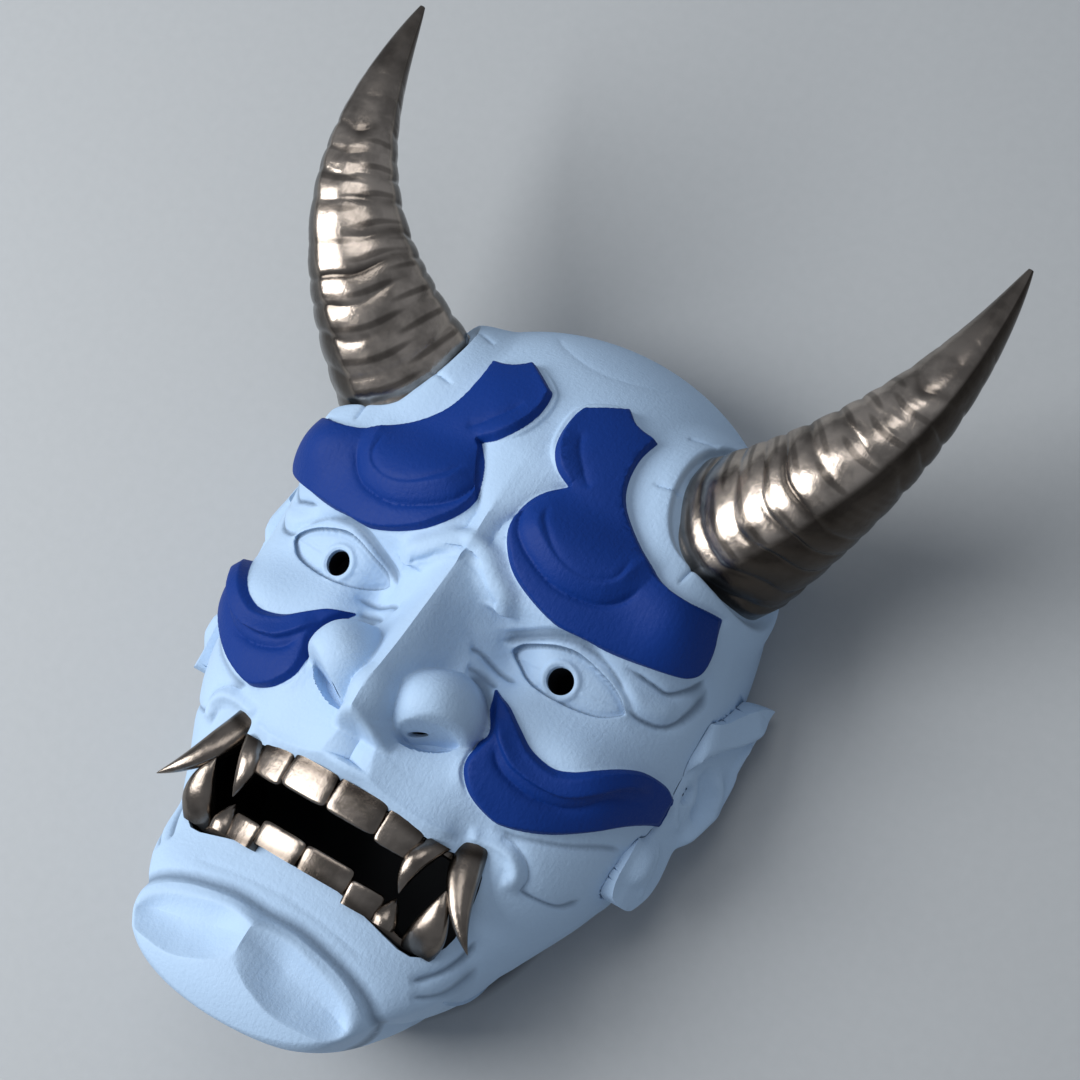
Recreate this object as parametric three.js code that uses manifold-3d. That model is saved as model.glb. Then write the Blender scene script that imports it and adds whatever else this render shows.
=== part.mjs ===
// Oni mask: a hollow cast face with two set-in horns and two rows of metal teeth.
// The mask lies on its flat back rim. Millimetres: +x is the mask's own left, +y runs to the
// crown, +z comes up out of the face.
import * as THREE from 'three';
import { ConvexGeometry } from 'three/addons/geometries/ConvexGeometry.js';
import { mergeVertices } from 'three/addons/utils/BufferGeometryUtils.js';
import Module from 'manifold-3d';

const wasm = await Module();
wasm.setup();

// Driving sizes of the face
const FACE_WIDTH = 144; // over the temples, without the ears
const FACE_HEIGHT = 218.5; // chin to crown
const FACE_DEPTH = 92; // back rim to nose tip
const WALL = 5; // thickness of the casting
const EYE_HOLE = 7.4; // round hole through each eyeball
const NOSTRIL_HOLE = 3.6;
const BROW_RISE = 2.4; // how far a brow pad stands off the skin
const FLOURISH_RISE = 2.2;
const LID_THICKNESS = 2.6;
const LIP_THICKNESS = 5;

// Driving sizes of the horns and teeth
const HORN_LENGTH = 116; // along the curve, from the socket's mouth
const HORN_BASE = 43; // diameter at the socket's mouth
const HORN_RIB = 0.6; // height of a growth ring
const HORN_RIBS = 11;
const SOCKET_DEPTH = 8;
const COLLAR = 3.2; // skin around the horn
const TOOTH_THICKNESS = 6;
const INCISOR_LENGTH = 7.5;
const TUSK_LENGTH = 25;
const FANG_LENGTH = 17;
const GUM_HEIGHT = 3.5;
const CLEARANCE = 0.3; // between pieces that are bonded to each other

// The carving is written as shares of the face: on a grid 144 wide, 218.5 high and 92 deep,
// with its zero midway between the pupils and its back rim at z = -60.
const GRID_WIDTH = 144;
const GRID_DEPTH = 92;
const GRID_BACK = -60;
const GRID_TOP = 98;
const GRID_BOTTOM = -120.5;
const GRID_MIDDLE = (GRID_TOP + GRID_BOTTOM) / 2;
const GRID_HALF = (GRID_TOP - GRID_BOTTOM) / 2;
const UNIT = new THREE.Vector3(
  FACE_WIDTH / GRID_WIDTH, FACE_HEIGHT / (2 * GRID_HALF), FACE_DEPTH / GRID_DEPTH,
);

// Facets
const COLUMNS = 24;
const ROWS = 30;
const INNER_COLUMNS = 10;
const INNER_ROWS = 14;
const HORN_SIDES = 8;
const TOOTH_SIDES = 6;

const skinPaint = new THREE.MeshStandardMaterial({ color: 0x94b2d2, roughness: 0.75, flatShading: true });
const bronze = new THREE.MeshStandardMaterial({
  color: 0x645a50, roughness: 0.35, metalness: 0.9, flatShading: true,
});

// Smooth curve through [position, value] pairs, flat beyond its ends.
function profile(knots) {
  const slope = (k) => {
    const before = knots[Math.max(k - 1, 0)];
    const after = knots[Math.min(k + 1, knots.length - 1)];
    return (after[1] - before[1]) / (after[0] - before[0]);
  };
  return (position) => {
    const s = THREE.MathUtils.clamp(position, knots[0][0], knots[knots.length - 1][0]);
    let k = 0;
    while (k < knots.length - 2 && s > knots[k + 1][0]) k += 1;
    const span = knots[k + 1][0] - knots[k][0];
    const t = (s - knots[k][0]) / span;
    const ease = t * t * (3 - 2 * t);
    return knots[k][1] * (1 - ease) + knots[k + 1][1] * ease
      + span * t * (1 - t) * ((1 - t) * slope(k) - t * slope(k + 1));
  };
}

// The skull under the carving: half width, depth of its widest line, and rise above that line.
const skullWidth = profile([
  [-120.5, 112], [-116, 92], [-110, 77], [-100, 67.5], [-88, 66.5], [-75, 64], [-45, 69.5], [0, 73],
  [50, 78.5], [98, 92],
]);
const widestDepth = profile([
  [-120.5, 1], [-105, 0], [-93, -10], [-75, -28], [-46, -38], [0, -45], [98, -48],
]);
const skullRise = profile([
  [-120.5, 22], [-105, 20], [-92, 26], [-70, 41], [-48, 50], [-20, 54], [0, 54], [22, 60], [46, 62],
  [74, 67], [98, 68],
]);
const rimShare = profile([[-120.5, 0.9], [-60, 0.93], [-20, 0.96], [98, 0.97]]);
const SQUARENESS = 2.3;

// Soft swellings and hollows on both sides: centre x and y, reach in x and y, height.
const MASSES = [
  [62, 28, 13, 12, 12], // outer end of the brow
  [50, 34, 10, 8, 3],
  [36, 0, 14, 9, -3.5], // eye socket
  [21, -2, 7, 10, -8], // beside the nose
  [57, -18, 14, 10, 7], // cheekbone
  [0, -42, 13, 10, 6], // muzzle
  [38, -48, 9, 9, -5], // corner of the mouth
  [0, -103, 28, 13, 5], // chin
];
// The same on the inside, where only the broad forms are hollowed out
const HOLLOW_MASSES = [
  [62, 28, 12, 11, 8], [28, -1, 21, 16, -11], [57, -18, 12, 9, 4], [0, -42, 12, 9, 4], [38, -48, 13, 13, -6],
  [0, -103, 22, 11, 3], [0, -26, 13, 12, 9],
];

function swelling(masses, x, y) {
  return masses.reduce((sum, [cx, cy, rx, ry, height]) => {
    const reach = ((Math.abs(x) - cx) / rx) ** 2 + ((y - cy) / ry) ** 2;
    return sum + height * Math.exp(-reach);
  }, 0);
}

// Height of the smooth face over the grid point x, y.
function skinHeight(x, y) {
  const reach = Math.min(Math.hypot(x / skullWidth(y), (y - GRID_MIDDLE) / GRID_HALF), 1);
  const dome = (1 - reach ** SQUARENESS) ** (1 / SQUARENESS);
  return widestDepth(y) + skullRise(y) * dome + swelling(MASSES, x, y);
}

function onGrid(x, y, z) {
  return new THREE.Vector3(x, y, z).multiply(UNIT);
}

// Point that stands a number of millimetres off the skin.
function offSkin(x, y, rise) {
  const step = 0.5;
  const across = (skinHeight(x + step, y) - skinHeight(x - step, y)) / (2 * step);
  const along = (skinHeight(x, y + step) - skinHeight(x, y - step)) / (2 * step);
  const normal = new THREE.Vector3(
    -across * UNIT.z / UNIT.x, -along * UNIT.z / UNIT.y, 1,
  ).normalize();
  return onGrid(x, y, skinHeight(x, y)).addScaledVector(normal, rise);
}

function solid(geometry) {
  const bare = geometry.clone();
  bare.deleteAttribute('normal');
  bare.deleteAttribute('uv');
  const merged = mergeVertices(bare, 1e-4);
  return new wasm.Manifold(new wasm.Mesh({
    numProp: 3,
    vertProperties: new Float32Array(merged.attributes.position.array),
    triVerts: new Uint32Array(merged.index.array),
  }));
}

function geometryOf(manifold) {
  const mesh = manifold.getMesh();
  const geometry = new THREE.BufferGeometry();
  geometry.setAttribute('position', new THREE.BufferAttribute(new Float32Array(mesh.vertProperties), 3));
  geometry.setIndex(new THREE.BufferAttribute(new Uint32Array(mesh.triVerts), 1));
  return geometry;
}

// Closed body through a row of rings with equal numbers of points. The ends are capped, or,
// for a ring of rings, joined.
function loft(rings, endless = false) {
  const count = rings[0].length;
  const points = rings.flat();
  const index = [];
  const last = endless ? rings.length : rings.length - 1;
  for (let i = 0; i < last; i += 1) {
    const next = (i + 1) % rings.length;
    for (let j = 0; j < count; j += 1) {
      const side = (j + 1) % count;
      const corners = [i * count + j, i * count + side, next * count + side, next * count + j];
      index.push(corners[0], corners[1], corners[2], corners[0], corners[2], corners[3]);
    }
  }
  if (!endless) {
    [0, rings.length - 1].forEach((i) => {
      const centre = points.length;
      points.push(rings[i].reduce((sum, p) => sum.add(p), new THREE.Vector3()).divideScalar(count));
      for (let j = 0; j < count; j += 1) {
        const pair = [i * count + j, i * count + (j + 1) % count];
        index.push(centre, ...(i === 0 ? pair.reverse() : pair));
      }
    });
  }
  let volume = 0;
  for (let k = 0; k < index.length; k += 3) {
    const [a, b, c] = [points[index[k]], points[index[k + 1]], points[index[k + 2]]];
    volume += a.dot(b.clone().cross(c));
  }
  if (volume < 0) index.reverse();
  const geometry = new THREE.BufferGeometry().setFromPoints(points);
  geometry.setIndex(index);
  return solid(geometry);
}

function mirrored(manifold) {
  const geometry = geometryOf(manifold);
  geometry.scale(-1, 1, 1);
  const index = Array.from(geometry.index.array).reverse();
  geometry.setIndex(index);
  return solid(geometry);
}

function bothSides(manifold) {
  return manifold.add(mirrored(manifold));
}

function hull(points) {
  return solid(new ConvexGeometry(points));
}

function mirroredHull(points) {
  return hull([...points, ...points.map((p) => new THREE.Vector3(-p.x, p.y, p.z))]);
}

function ball(centre, radii, sides) {
  const geometry = new THREE.SphereGeometry(1, sides, Math.round(sides * 0.6));
  geometry.scale(radii.x, radii.y, radii.z);
  geometry.translate(centre.x, centre.y, centre.z);
  return solid(geometry);
}

// Evenly spaced points on a smooth curve through [x, y] pairs, as [x, y] pairs.
function smoothLine(pairs, steps, closed = false) {
  const knots = pairs.map(([x, y]) => new THREE.Vector3(x, y, 0));
  const curve = new THREE.CatmullRomCurve3(knots, closed, 'catmullrom', 0.5);
  return Array.from({ length: closed ? steps : steps + 1 }, (_, k) => {
    const p = curve.getPoint(k / steps);
    return [p.x, p.y];
  });
}

// The skull as a closed dome on a flat base, its grid bent from a square to the outline.
function dome(columns, rows, inset, masses, depth) {
  const wallRings = 2;
  const crowd = (u) => u * (1.25 - 0.25 * u * u);
  const surface = (i, j) => {
    const s = crowd((2 * i) / columns - 1);
    const t = crowd((2 * j) / rows - 1);
    const p = s * Math.sqrt(1 - (t * t) / 2);
    const q = t * Math.sqrt(1 - (s * s) / 2);
    const y = GRID_MIDDLE + GRID_HALF * q;
    const x = skullWidth(y) * p;
    const reach = Math.min(Math.hypot(p, q), 1);
    const rise = (1 - reach ** SQUARENESS) ** (1 / SQUARENESS);
    const z = widestDepth(y) + skullRise(y) * rise + swelling(masses, x, y) * Math.min(1, rise * 4);
    const pull = reach ** (SQUARENESS - 2);
    const normal = new THREE.Vector3(
      (pull * p) / skullWidth(y) / UNIT.x,
      (pull * q) / GRID_HALF / UNIT.y,
      rise ** (SQUARENESS - 1) / skullRise(y) / UNIT.z,
    ).normalize();
    return onGrid(x, y, z).addScaledVector(normal, -inset);
  };
  const points = [];
  for (let j = 0; j <= rows; j += 1) {
    for (let i = 0; i <= columns; i += 1) points.push(surface(i, j));
  }
  const index = [];
  for (let j = 0; j < rows; j += 1) {
    for (let i = 0; i < columns; i += 1) {
      const a = j * (columns + 1) + i;
      const b = a + columns + 1;
      if ((i < columns / 2) === (j < rows / 2)) index.push(a, a + 1, b, a + 1, b + 1, b);
      else index.push(a, a + 1, b + 1, a, b + 1, b);
    }
  }
  const border = [];
  for (let i = 0; i < columns; i += 1) border.push(i);
  for (let j = 0; j < rows; j += 1) border.push(j * (columns + 1) + columns);
  for (let i = columns; i > 0; i -= 1) border.push(rows * (columns + 1) + i);
  for (let j = rows; j > 0; j -= 1) border.push(j * (columns + 1));
  const edge = border.map((k) => points[k]);
  let ring = border;
  for (let k = 1; k <= wallRings; k += 1) {
    const t = k / wallRings;
    const start = points.length;
    edge.forEach((p) => {
      const share = 1 - (1 - rimShare(p.y / UNIT.y)) * t * t;
      points.push(new THREE.Vector3(p.x * share, p.y * share, THREE.MathUtils.lerp(p.z, depth, t)));
    });
    const lower = edge.map((p, n) => start + n);
    ring.forEach((a, n) => {
      const m = (n + 1) % ring.length;
      index.push(a, lower[n], lower[m], a, lower[m], ring[m]);
    });
    ring = lower;
  }
  points.push(new THREE.Vector3(0, GRID_MIDDLE * UNIT.y, depth));
  ring.forEach((a, n) => index.push(points.length - 1, ring[(n + 1) % ring.length], a));
  const geometry = new THREE.BufferGeometry().setFromPoints(points);
  geometry.setIndex(index);
  return solid(geometry);
}

// A raised pad between two edge lines that run side by side over the skin.
function pad(edgeA, edgeB, rise, steps) {
  const sink = -2.5;
  const lineA = smoothLine(edgeA, steps);
  const lineB = smoothLine(edgeB, steps);
  const rings = lineA.map((a, k) => {
    const b = lineB[k];
    const between = (t) => [a[0] + (b[0] - a[0]) * t, a[1] + (b[1] - a[1]) * t];
    const wide = Math.hypot(b[0] - a[0], b[1] - a[1]);
    const bevel = Math.min(1.6 / Math.max(wide, 0.1), 0.3);
    return [
      offSkin(...between(0), sink), offSkin(...between(0), rise * 0.55),
      offSkin(...between(bevel), rise), offSkin(...between(0.5), rise), offSkin(...between(1 - bevel), rise),
      offSkin(...between(1), rise * 0.55), offSkin(...between(1), sink),
    ];
  });
  return loft(rings);
}

// A rounded roll of skin along a line.
function roll(pairs, steps, thickness, rise, closed = false) {
  const sides = 4;
  const line = smoothLine(pairs, steps, closed);
  const rings = line.map(([x, y], k) => {
    const before = line[closed ? (k + line.length - 1) % line.length : Math.max(k - 1, 0)];
    const after = line[closed ? (k + 1) % line.length : Math.min(k + 1, line.length - 1)];
    const across = new THREE.Vector3(before[1] - after[1], after[0] - before[0], 0).normalize();
    const centre = offSkin(x, y, rise);
    const outward = centre.clone().sub(offSkin(x, y, rise - 1)).normalize();
    return Array.from({ length: sides }, (_, n) => {
      const turn = (2 * Math.PI * (n + 0.5)) / sides;
      return centre.clone()
        .addScaledVector(across, (Math.cos(turn) * thickness) / 2)
        .addScaledVector(outward, (Math.sin(turn) * thickness) / 2);
    });
  });
  return loft(rings, closed);
}

// Brows and cheek flourishes
function brow() {
  const hornSide = [
    [15.3, 73.4], [26, 68.6], [25.7, 61], [26.8, 55.5], [28, 52], [30, 48.5], [34, 43.5], [41, 38.3],
    [50.2, 33.9], [60, 33.8], [63.7, 33.1],
  ];
  const faceSide = [
    [14.3, 72.9], [5.5, 67.5], [5.2, 57.2], [14, 46.3], [7.5, 38.5], [6, 29], [14, 19], [27, 13],
    [42, 12.5], [60, 16], [65.4, 24],
  ];
  return pad(hornSide, faceSide, BROW_RISE, 14);
}

function cheekFlourish() {
  const upper = [
    [23.2, -11.1], [29.2, -13], [34.7, -16.8], [40.2, -20.2], [47, -21.5], [52, -19.9], [56, -17],
    [61.1, -12.5], [64.6, -10.3], [67.5, -10.3],
  ];
  const lower = [
    [23.4, -12], [28.4, -20], [27, -30], [31.9, -37.6], [41.2, -40.4], [47.9, -38.6], [53.9, -35.4],
    [60.8, -29.9], [65.9, -24.6], [68.5, -20],
  ];
  return pad(upper, lower, FLOURISH_RISE, 11);
}

// Eyes
const EYE_OUTLINE = [
  [20.4, 0.6], [28.5, 5.8], [38, 8.2], [46.5, 6.2], [53.6, 0.8], [46, -3.8], [36, -5.4], [27, -3.6],
];

function eye() {
  const eyeball = ball(onGrid(37, 1, -9.5), new THREE.Vector3(18, 10, 10).multiply(UNIT), 10);
  return eyeball.add(roll(EYE_OUTLINE, 12, LID_THICKNESS, 0.6, true));
}

function eyeHole() {
  const hole = new THREE.CylinderGeometry(EYE_HOLE / 2, EYE_HOLE / 2, FACE_DEPTH, 12);
  hole.rotateX(Math.PI / 2);
  hole.translate(36 * UNIT.x, 0, 0);
  return solid(hole);
}

// Nose: a flat bridge with bevelled flanks, a blunt tip and two round wings
function nose() {
  const ridge = mirroredHull([
    onGrid(5.5, 17, 14.5), onGrid(5, 4, 18.5), onGrid(6, -12, 25), onGrid(8, -24, 30), onGrid(7, -31, 31),
    onGrid(0.01, -33, 32), onGrid(5, -36, 27), onGrid(11, 14, 7), onGrid(13, 0, 5), onGrid(16, -14, 6),
    onGrid(18, -26, 6), onGrid(11, -37, 12), onGrid(9, 14, -2), onGrid(16, -26, -2),
  ]);
  const wing = ball(onGrid(14.2, -23.5, 9), new THREE.Vector3(9.4, 10.5, 12.5).multiply(UNIT), 12);
  return ridge.add(bothSides(wing));
}

// A slit that runs up and back from the underside of the wing into the hollow.
function nostril() {
  const long = 2.4;
  const roll = 0.5;
  const pitch = 0.98;
  const reach = FACE_DEPTH / 3;
  const hole = new THREE.CylinderGeometry(NOSTRIL_HOLE / 2, NOSTRIL_HOLE / 2, reach, 10);
  hole.scale(long, 1, 1);
  hole.translate(0, reach / 3, 0);
  hole.rotateY(-roll);
  hole.rotateX(-pitch);
  const place = onGrid(15.5, -32, 14);
  hole.translate(place.x, place.y, place.z);
  return solid(hole);
}

// Folds between the brows and the boss at their root
function frown() {
  const knot = mirroredHull([
    onGrid(7, 27, 12), onGrid(0.01, 28, 14.5), onGrid(8, 20, 12.5), onGrid(0.01, 19, 15.5), onGrid(6, 17, 5),
    onGrid(8, 30, 4),
  ]);
  const fold = roll([[2, 26], [3.5, 36], [7.5, 48]], 4, 5, 0.3);
  return knot.add(bothSides(fold));
}

// Chin: broad facets round a middle ridge
function chin() {
  return mirroredHull([
    onGrid(0.01, -86, 10), onGrid(10, -88, 14), onGrid(21, -91, 12.5), onGrid(29, -96.5, 9.5),
    onGrid(0.01, -93, 15), onGrid(0.01, -105, 17.5), onGrid(14, -103, 17.5), onGrid(23, -111, 13),
    onGrid(0.01, -116, 9), onGrid(31, -105, 7), onGrid(20, -90, -4), onGrid(18, -108, -4),
  ]);
}

// Mouth opening, right half of its outline from the middle of the upper lip round to the lower
const MOUTH_HALF = [
  [0, -51], [12, -51.5], [24, -52.5], [33, -52], [41, -49], [44, -53], [44, -65], [42.5, -76],
  [36, -82.5], [24, -79.5], [12, -76.5], [0, -75.5],
];

function mouthOutline(spread) {
  const right = MOUTH_HALF.map(([x, y]) => [
    x === 0 ? 0 : x + spread, y + spread * (y > -64 ? 1 : -1),
  ]);
  const left = right.slice(1, -1).reverse().map(([x, y]) => [-x, y]);
  return [...right, ...left];
}

function mouthOpening() {
  const shape = new THREE.Shape(mouthOutline(0).map(([x, y]) => new THREE.Vector2(x * UNIT.x, y * UNIT.y)));
  const cut = new THREE.ExtrudeGeometry(shape, { depth: 2 * FACE_DEPTH, bevelEnabled: false });
  cut.translate(0, 0, -FACE_DEPTH);
  return solid(cut);
}

function lips() {
  return roll(mouthOutline(2.2), 26, LIP_THICKNESS, -1.2, true);
}

// Ear: a pointed leaf that stands off the side of the head
function ear() {
  const stations = [
    { y: -43, front: [66, -47], back: [70, -51] },
    { y: -34, front: [67, -40], back: [74.5, -54] },
    { y: -20, front: [69, -37], back: [78, -56] },
    { y: -4, front: [70, -36], back: [80, -57] },
    { y: 10, front: [70.5, -36], back: [79.5, -56] },
    { y: 18, front: [71, -38], back: [78.5, -54] },
    { y: 24, front: [74, -46], back: [77.5, -52] },
  ];
  const thick = 4;
  const rings = stations.map(({ y, front, back }) => {
    const middle = [(front[0] + back[0]) / 2 - 1.5, (front[1] + back[1]) / 2];
    return [
      onGrid(front[0], y, front[1]), onGrid(middle[0], y, middle[1]), onGrid(back[0], y, back[1]),
      onGrid(back[0] - thick, y, back[1] - 1), onGrid(front[0] - 2 * thick, y, back[1] - 1),
      onGrid(front[0] - 2 * thick, y, front[1] - thick),
    ];
  });
  return loft(rings);
}

// Horns: a curve that leaves the forehead outward and forward, then turns up to the crown.
// Its control points are shares of the length.
const HORN_ROOT = onGrid(54.4, 58.5, -17.2);
const HORN_COURSE = [[0, 0, 0], [0.247, 0.187, 0.312], [0.345, 0.442, 0.234], [0.358, 0.821, 0.229]];
const hornCurve = new THREE.CubicBezierCurve3(...HORN_COURSE.map(([x, y, z]) => (
  new THREE.Vector3(x, y, z).multiplyScalar(HORN_LENGTH).add(HORN_ROOT)
)));
const hornAxis = hornCurve.getTangent(0);

function ringAround(centre, axis, radius, sides) {
  const across = new THREE.Vector3(0, 0, 1).cross(axis).normalize();
  const over = axis.clone().cross(across);
  return Array.from({ length: sides }, (_, n) => {
    const turn = (2 * Math.PI * n) / sides;
    return centre.clone()
      .addScaledVector(across, Math.cos(turn) * radius)
      .addScaledVector(over, Math.sin(turn) * radius);
  });
}

function hornRadius(t) {
  const taper = (1 - t) ** 0.8 * (1 - 0.2 * t * (1 - t));
  return (HORN_BASE / 2) * taper;
}

function horn() {
  const rings = [ringAround(
    HORN_ROOT.clone().addScaledVector(hornAxis, -SOCKET_DEPTH), hornAxis, hornRadius(0), HORN_SIDES,
  )];
  const steps = 2 * HORN_RIBS;
  for (let k = 0; k <= steps; k += 1) {
    const t = (k / steps) * 0.985;
    const rib = (k % 2 === 0 ? -1 : 1) * (HORN_RIB / 2) * Math.min(1, (1 - t) * 4);
    const radius = hornRadius(t) + (k === 0 ? 0 : rib);
    rings.push(ringAround(hornCurve.getPoint(t), hornCurve.getTangent(t), radius, HORN_SIDES));
  }
  return loft(rings);
}

function hornCollar() {
  const reach = [[-34, 8], [-14, 3.5], [0, 0]];
  return loft(reach.map(([along, flare]) => ringAround(
    HORN_ROOT.clone().addScaledVector(hornAxis, along), hornAxis, HORN_BASE / 2 + COLLAR + flare, 14,
  )));
}

// Floor and wall of the socket where it reaches into the hollow.
function hornSeat() {
  return loft([-SOCKET_DEPTH - WALL, -1].map((along) => ringAround(
    HORN_ROOT.clone().addScaledVector(hornAxis, along), hornAxis, HORN_BASE / 2 + COLLAR, 14,
  )));
}

function hornSocket() {
  const radius = HORN_BASE / 2 + CLEARANCE;
  return loft([-SOCKET_DEPTH - CLEARANCE, HORN_LENGTH / 10].map((along) => ringAround(
    HORN_ROOT.clone().addScaledVector(hornAxis, along), hornAxis, radius, HORN_SIDES,
  )));
}

// Teeth: front of each row as a bow across the mouth
const upperFront = (x) => 12.5 - 0.0102 * x * x;
const lowerFront = (x) => 9.5 - 0.0105 * x * x;
const upperLine = (x) => profile([[0, -51], [12, -51.5], [24, -52.5], [33, -52], [42, -49.5]])(Math.abs(x));
const lowerLine = (x) => profile([[0, -75.5], [12, -76.5], [24, -79.5], [36, -82], [43, -79]])(Math.abs(x));

// Band of gum that seats in the opening behind the lip; side is 1 for the upper, -1 for the lower.
// The teeth and gums also cut their own seats in the face, then larger all round by a gap.
function gum(edge, front, side, gap) {
  const reach = 42 + gap;
  const steps = 8;
  return loft(Array.from({ length: steps + 1 }, (_, k) => {
    const x = THREE.MathUtils.lerp(-reach, reach, k / steps);
    const top = edge(x) * UNIT.y - side * (CLEARANCE - gap);
    const bottom = top - side * (GUM_HEIGHT + 2 * gap);
    const near = (front(x) - 1) * UNIT.z + gap;
    const far = near - TOOTH_THICKNESS - 2 * gap;
    return [[top, near], [bottom, near], [bottom, far], [top, far]].map(([y, z]) => (
      new THREE.Vector3(x * UNIT.x, y, z)
    ));
  }));
}

// One tooth: rounded sections along a line from root to tip, each with its own share of the width.
function tooth(root, tip, width, thickness, shares, gap, bend = new THREE.Vector3()) {
  const sides = TOOTH_SIDES;
  const way = tip.clone().sub(root).normalize();
  return loft(shares.map(([along, share], k) => {
    const ends = (k === shares.length - 1 ? gap : 0) - (k === 0 ? gap : 0);
    const centre = root.clone().lerp(tip, along).addScaledVector(way, ends)
      .addScaledVector(bend, 4 * along * (1 - along));
    return Array.from({ length: sides }, (_, n) => {
      const turn = (2 * Math.PI * (n + 0.5)) / sides;
      const square = 0.75;
      const c = Math.sign(Math.cos(turn)) * Math.abs(Math.cos(turn)) ** square;
      const s = Math.sign(Math.sin(turn)) * Math.abs(Math.sin(turn)) ** square;
      return centre.clone().add(new THREE.Vector3(
        c * ((width * share) / 2 + gap), 0, s * ((thickness * share) / 2 + gap),
      ));
    });
  }));
}

const BLOCK = [[-0.35, 0.95], [0.75, 1], [1, 0.8]];
const POINTED = [[-0.18, 0.95], [0.2, 1], [0.55, 0.72], [0.8, 0.38], [0.97, 0.08]];

// Incisors of one side: middle of the tooth and its width on the grid.
function incisors(edge, front, side, layout, gap) {
  return layout.map(([x, wide]) => {
    const root = onGrid(x, edge(x), front(x)).add(new THREE.Vector3(0, -side * (GUM_HEIGHT - 1), -1.5));
    const tip = root.clone().add(new THREE.Vector3(0, -side * INCISOR_LENGTH * 0.85, 0));
    return tooth(root, tip, (wide - 0.7) * UNIT.x, TOOTH_THICKNESS, BLOCK, gap);
  });
}

function upperTeeth(gap = 0) {
  const canineRoot = onGrid(28.5, -55, 4);
  const canineTip = canineRoot.clone().add(new THREE.Vector3(-1.5, -FANG_LENGTH * 0.82, 0.5));
  const tuskRoot = onGrid(37.5, -53, -1.5);
  const tuskWay = new THREE.Vector3(12.5, -19.8, 3.5).normalize();
  const tuskTip = tuskRoot.clone().addScaledVector(tuskWay, TUSK_LENGTH);
  const tuskBend = new THREE.Vector3(-1.5, -1.5, 1.5);
  const side = [
    ...incisors(upperLine, upperFront, 1, [[7.6, 14.4], [19.6, 9.6]], gap),
    tooth(canineRoot, canineTip, 7 * UNIT.x, TOOTH_THICKNESS, POINTED, gap, new THREE.Vector3(-1, 0, 1.5)),
    tooth(tuskRoot, tuskTip, 8.4 * UNIT.x, TOOTH_THICKNESS + 1, POINTED, gap, tuskBend),
  ];
  const row = side.reduce((whole, one) => whole.add(one));
  return bothSides(row).add(gum(upperLine, upperFront, 1, gap));
}

function lowerTeeth(gap = 0) {
  const smallRoot = onGrid(26.3, -77.5, 1.5);
  const smallTip = smallRoot.clone().add(new THREE.Vector3(0, FANG_LENGTH * 0.42, 0));
  const fangRoot = onGrid(36.5, -78, -4);
  const fangWay = new THREE.Vector3(1, 16, 7).normalize();
  const fangTip = fangRoot.clone().addScaledVector(fangWay, FANG_LENGTH);
  const side = [
    ...incisors(lowerLine, lowerFront, -1, [[7.4, 14], [18.6, 8]], gap),
    tooth(smallRoot, smallTip, 7 * UNIT.x, TOOTH_THICKNESS, POINTED, gap),
    tooth(fangRoot, fangTip, 10.5 * UNIT.x, TOOTH_THICKNESS + 2, POINTED, gap, new THREE.Vector3(1, 0, 1)),
  ];
  const row = side.reduce((whole, one) => whole.add(one));
  return bothSides(row).add(gum(lowerLine, lowerFront, -1, gap));
}

function belowRim() {
  const block = new THREE.BoxGeometry(2 * FACE_WIDTH, 2 * FACE_HEIGHT, FACE_DEPTH);
  block.translate(0, 0, GRID_BACK * UNIT.z - FACE_DEPTH / 2);
  return solid(block);
}

function faceShell() {
  const rim = GRID_BACK * UNIT.z;
  const carved = [
    bothSides(brow()), bothSides(cheekFlourish()), bothSides(eye()), nose(), frown(), chin(), lips(),
    bothSides(ear()), bothSides(hornCollar()),
  ];
  const body = carved.reduce((whole, one) => whole.add(one), dome(COLUMNS, ROWS, 0, MASSES, rim));
  const hollow = dome(INNER_COLUMNS, INNER_ROWS, WALL, HOLLOW_MASSES, rim - 1);
  const cuts = [
    mouthOpening(), upperTeeth(CLEARANCE), lowerTeeth(CLEARANCE), bothSides(eyeHole()),
    bothSides(nostril()), bothSides(hornSocket()), belowRim(),
  ];
  const shell = body.subtract(hollow).add(bothSides(hornSeat()));
  return cuts.reduce((whole, one) => whole.subtract(one), shell);
}

function piece(name, manifold, material) {
  const mesh = new THREE.Mesh(geometryOf(manifold), material);
  mesh.name = name;
  return mesh;
}

const mask = new THREE.Group();
mask.add(
  piece('face_shell', faceShell(), skinPaint),
  piece('horn_left', horn(), bronze),
  piece('horn_right', mirrored(horn()), bronze),
  piece('upper_teeth', upperTeeth(), bronze),
  piece('lower_teeth', lowerTeeth(), bronze),
);

// The origin is on the rim's plane, midway between the chin and the horn tips.
const extent = new THREE.Box3().setFromObject(mask);
mask.position.set(0, -(extent.min.y + extent.max.y) / 2, -extent.min.z);

export default mask;
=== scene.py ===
"""Oni mask: a painted casting with bronze horns and teeth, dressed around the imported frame.

The carving is worked in millimetres on a face whose zero is midway between the pupils, with x to
the mask's own left, y to the crown and z out of the face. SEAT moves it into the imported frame.
"""
import logging
import math
from collections.abc import Callable, Sequence
from dataclasses import dataclass
from enum import Enum

import bpy
import numpy as np
from mathutils import Matrix, Vector
from mathutils.kdtree import KDTree


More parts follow.
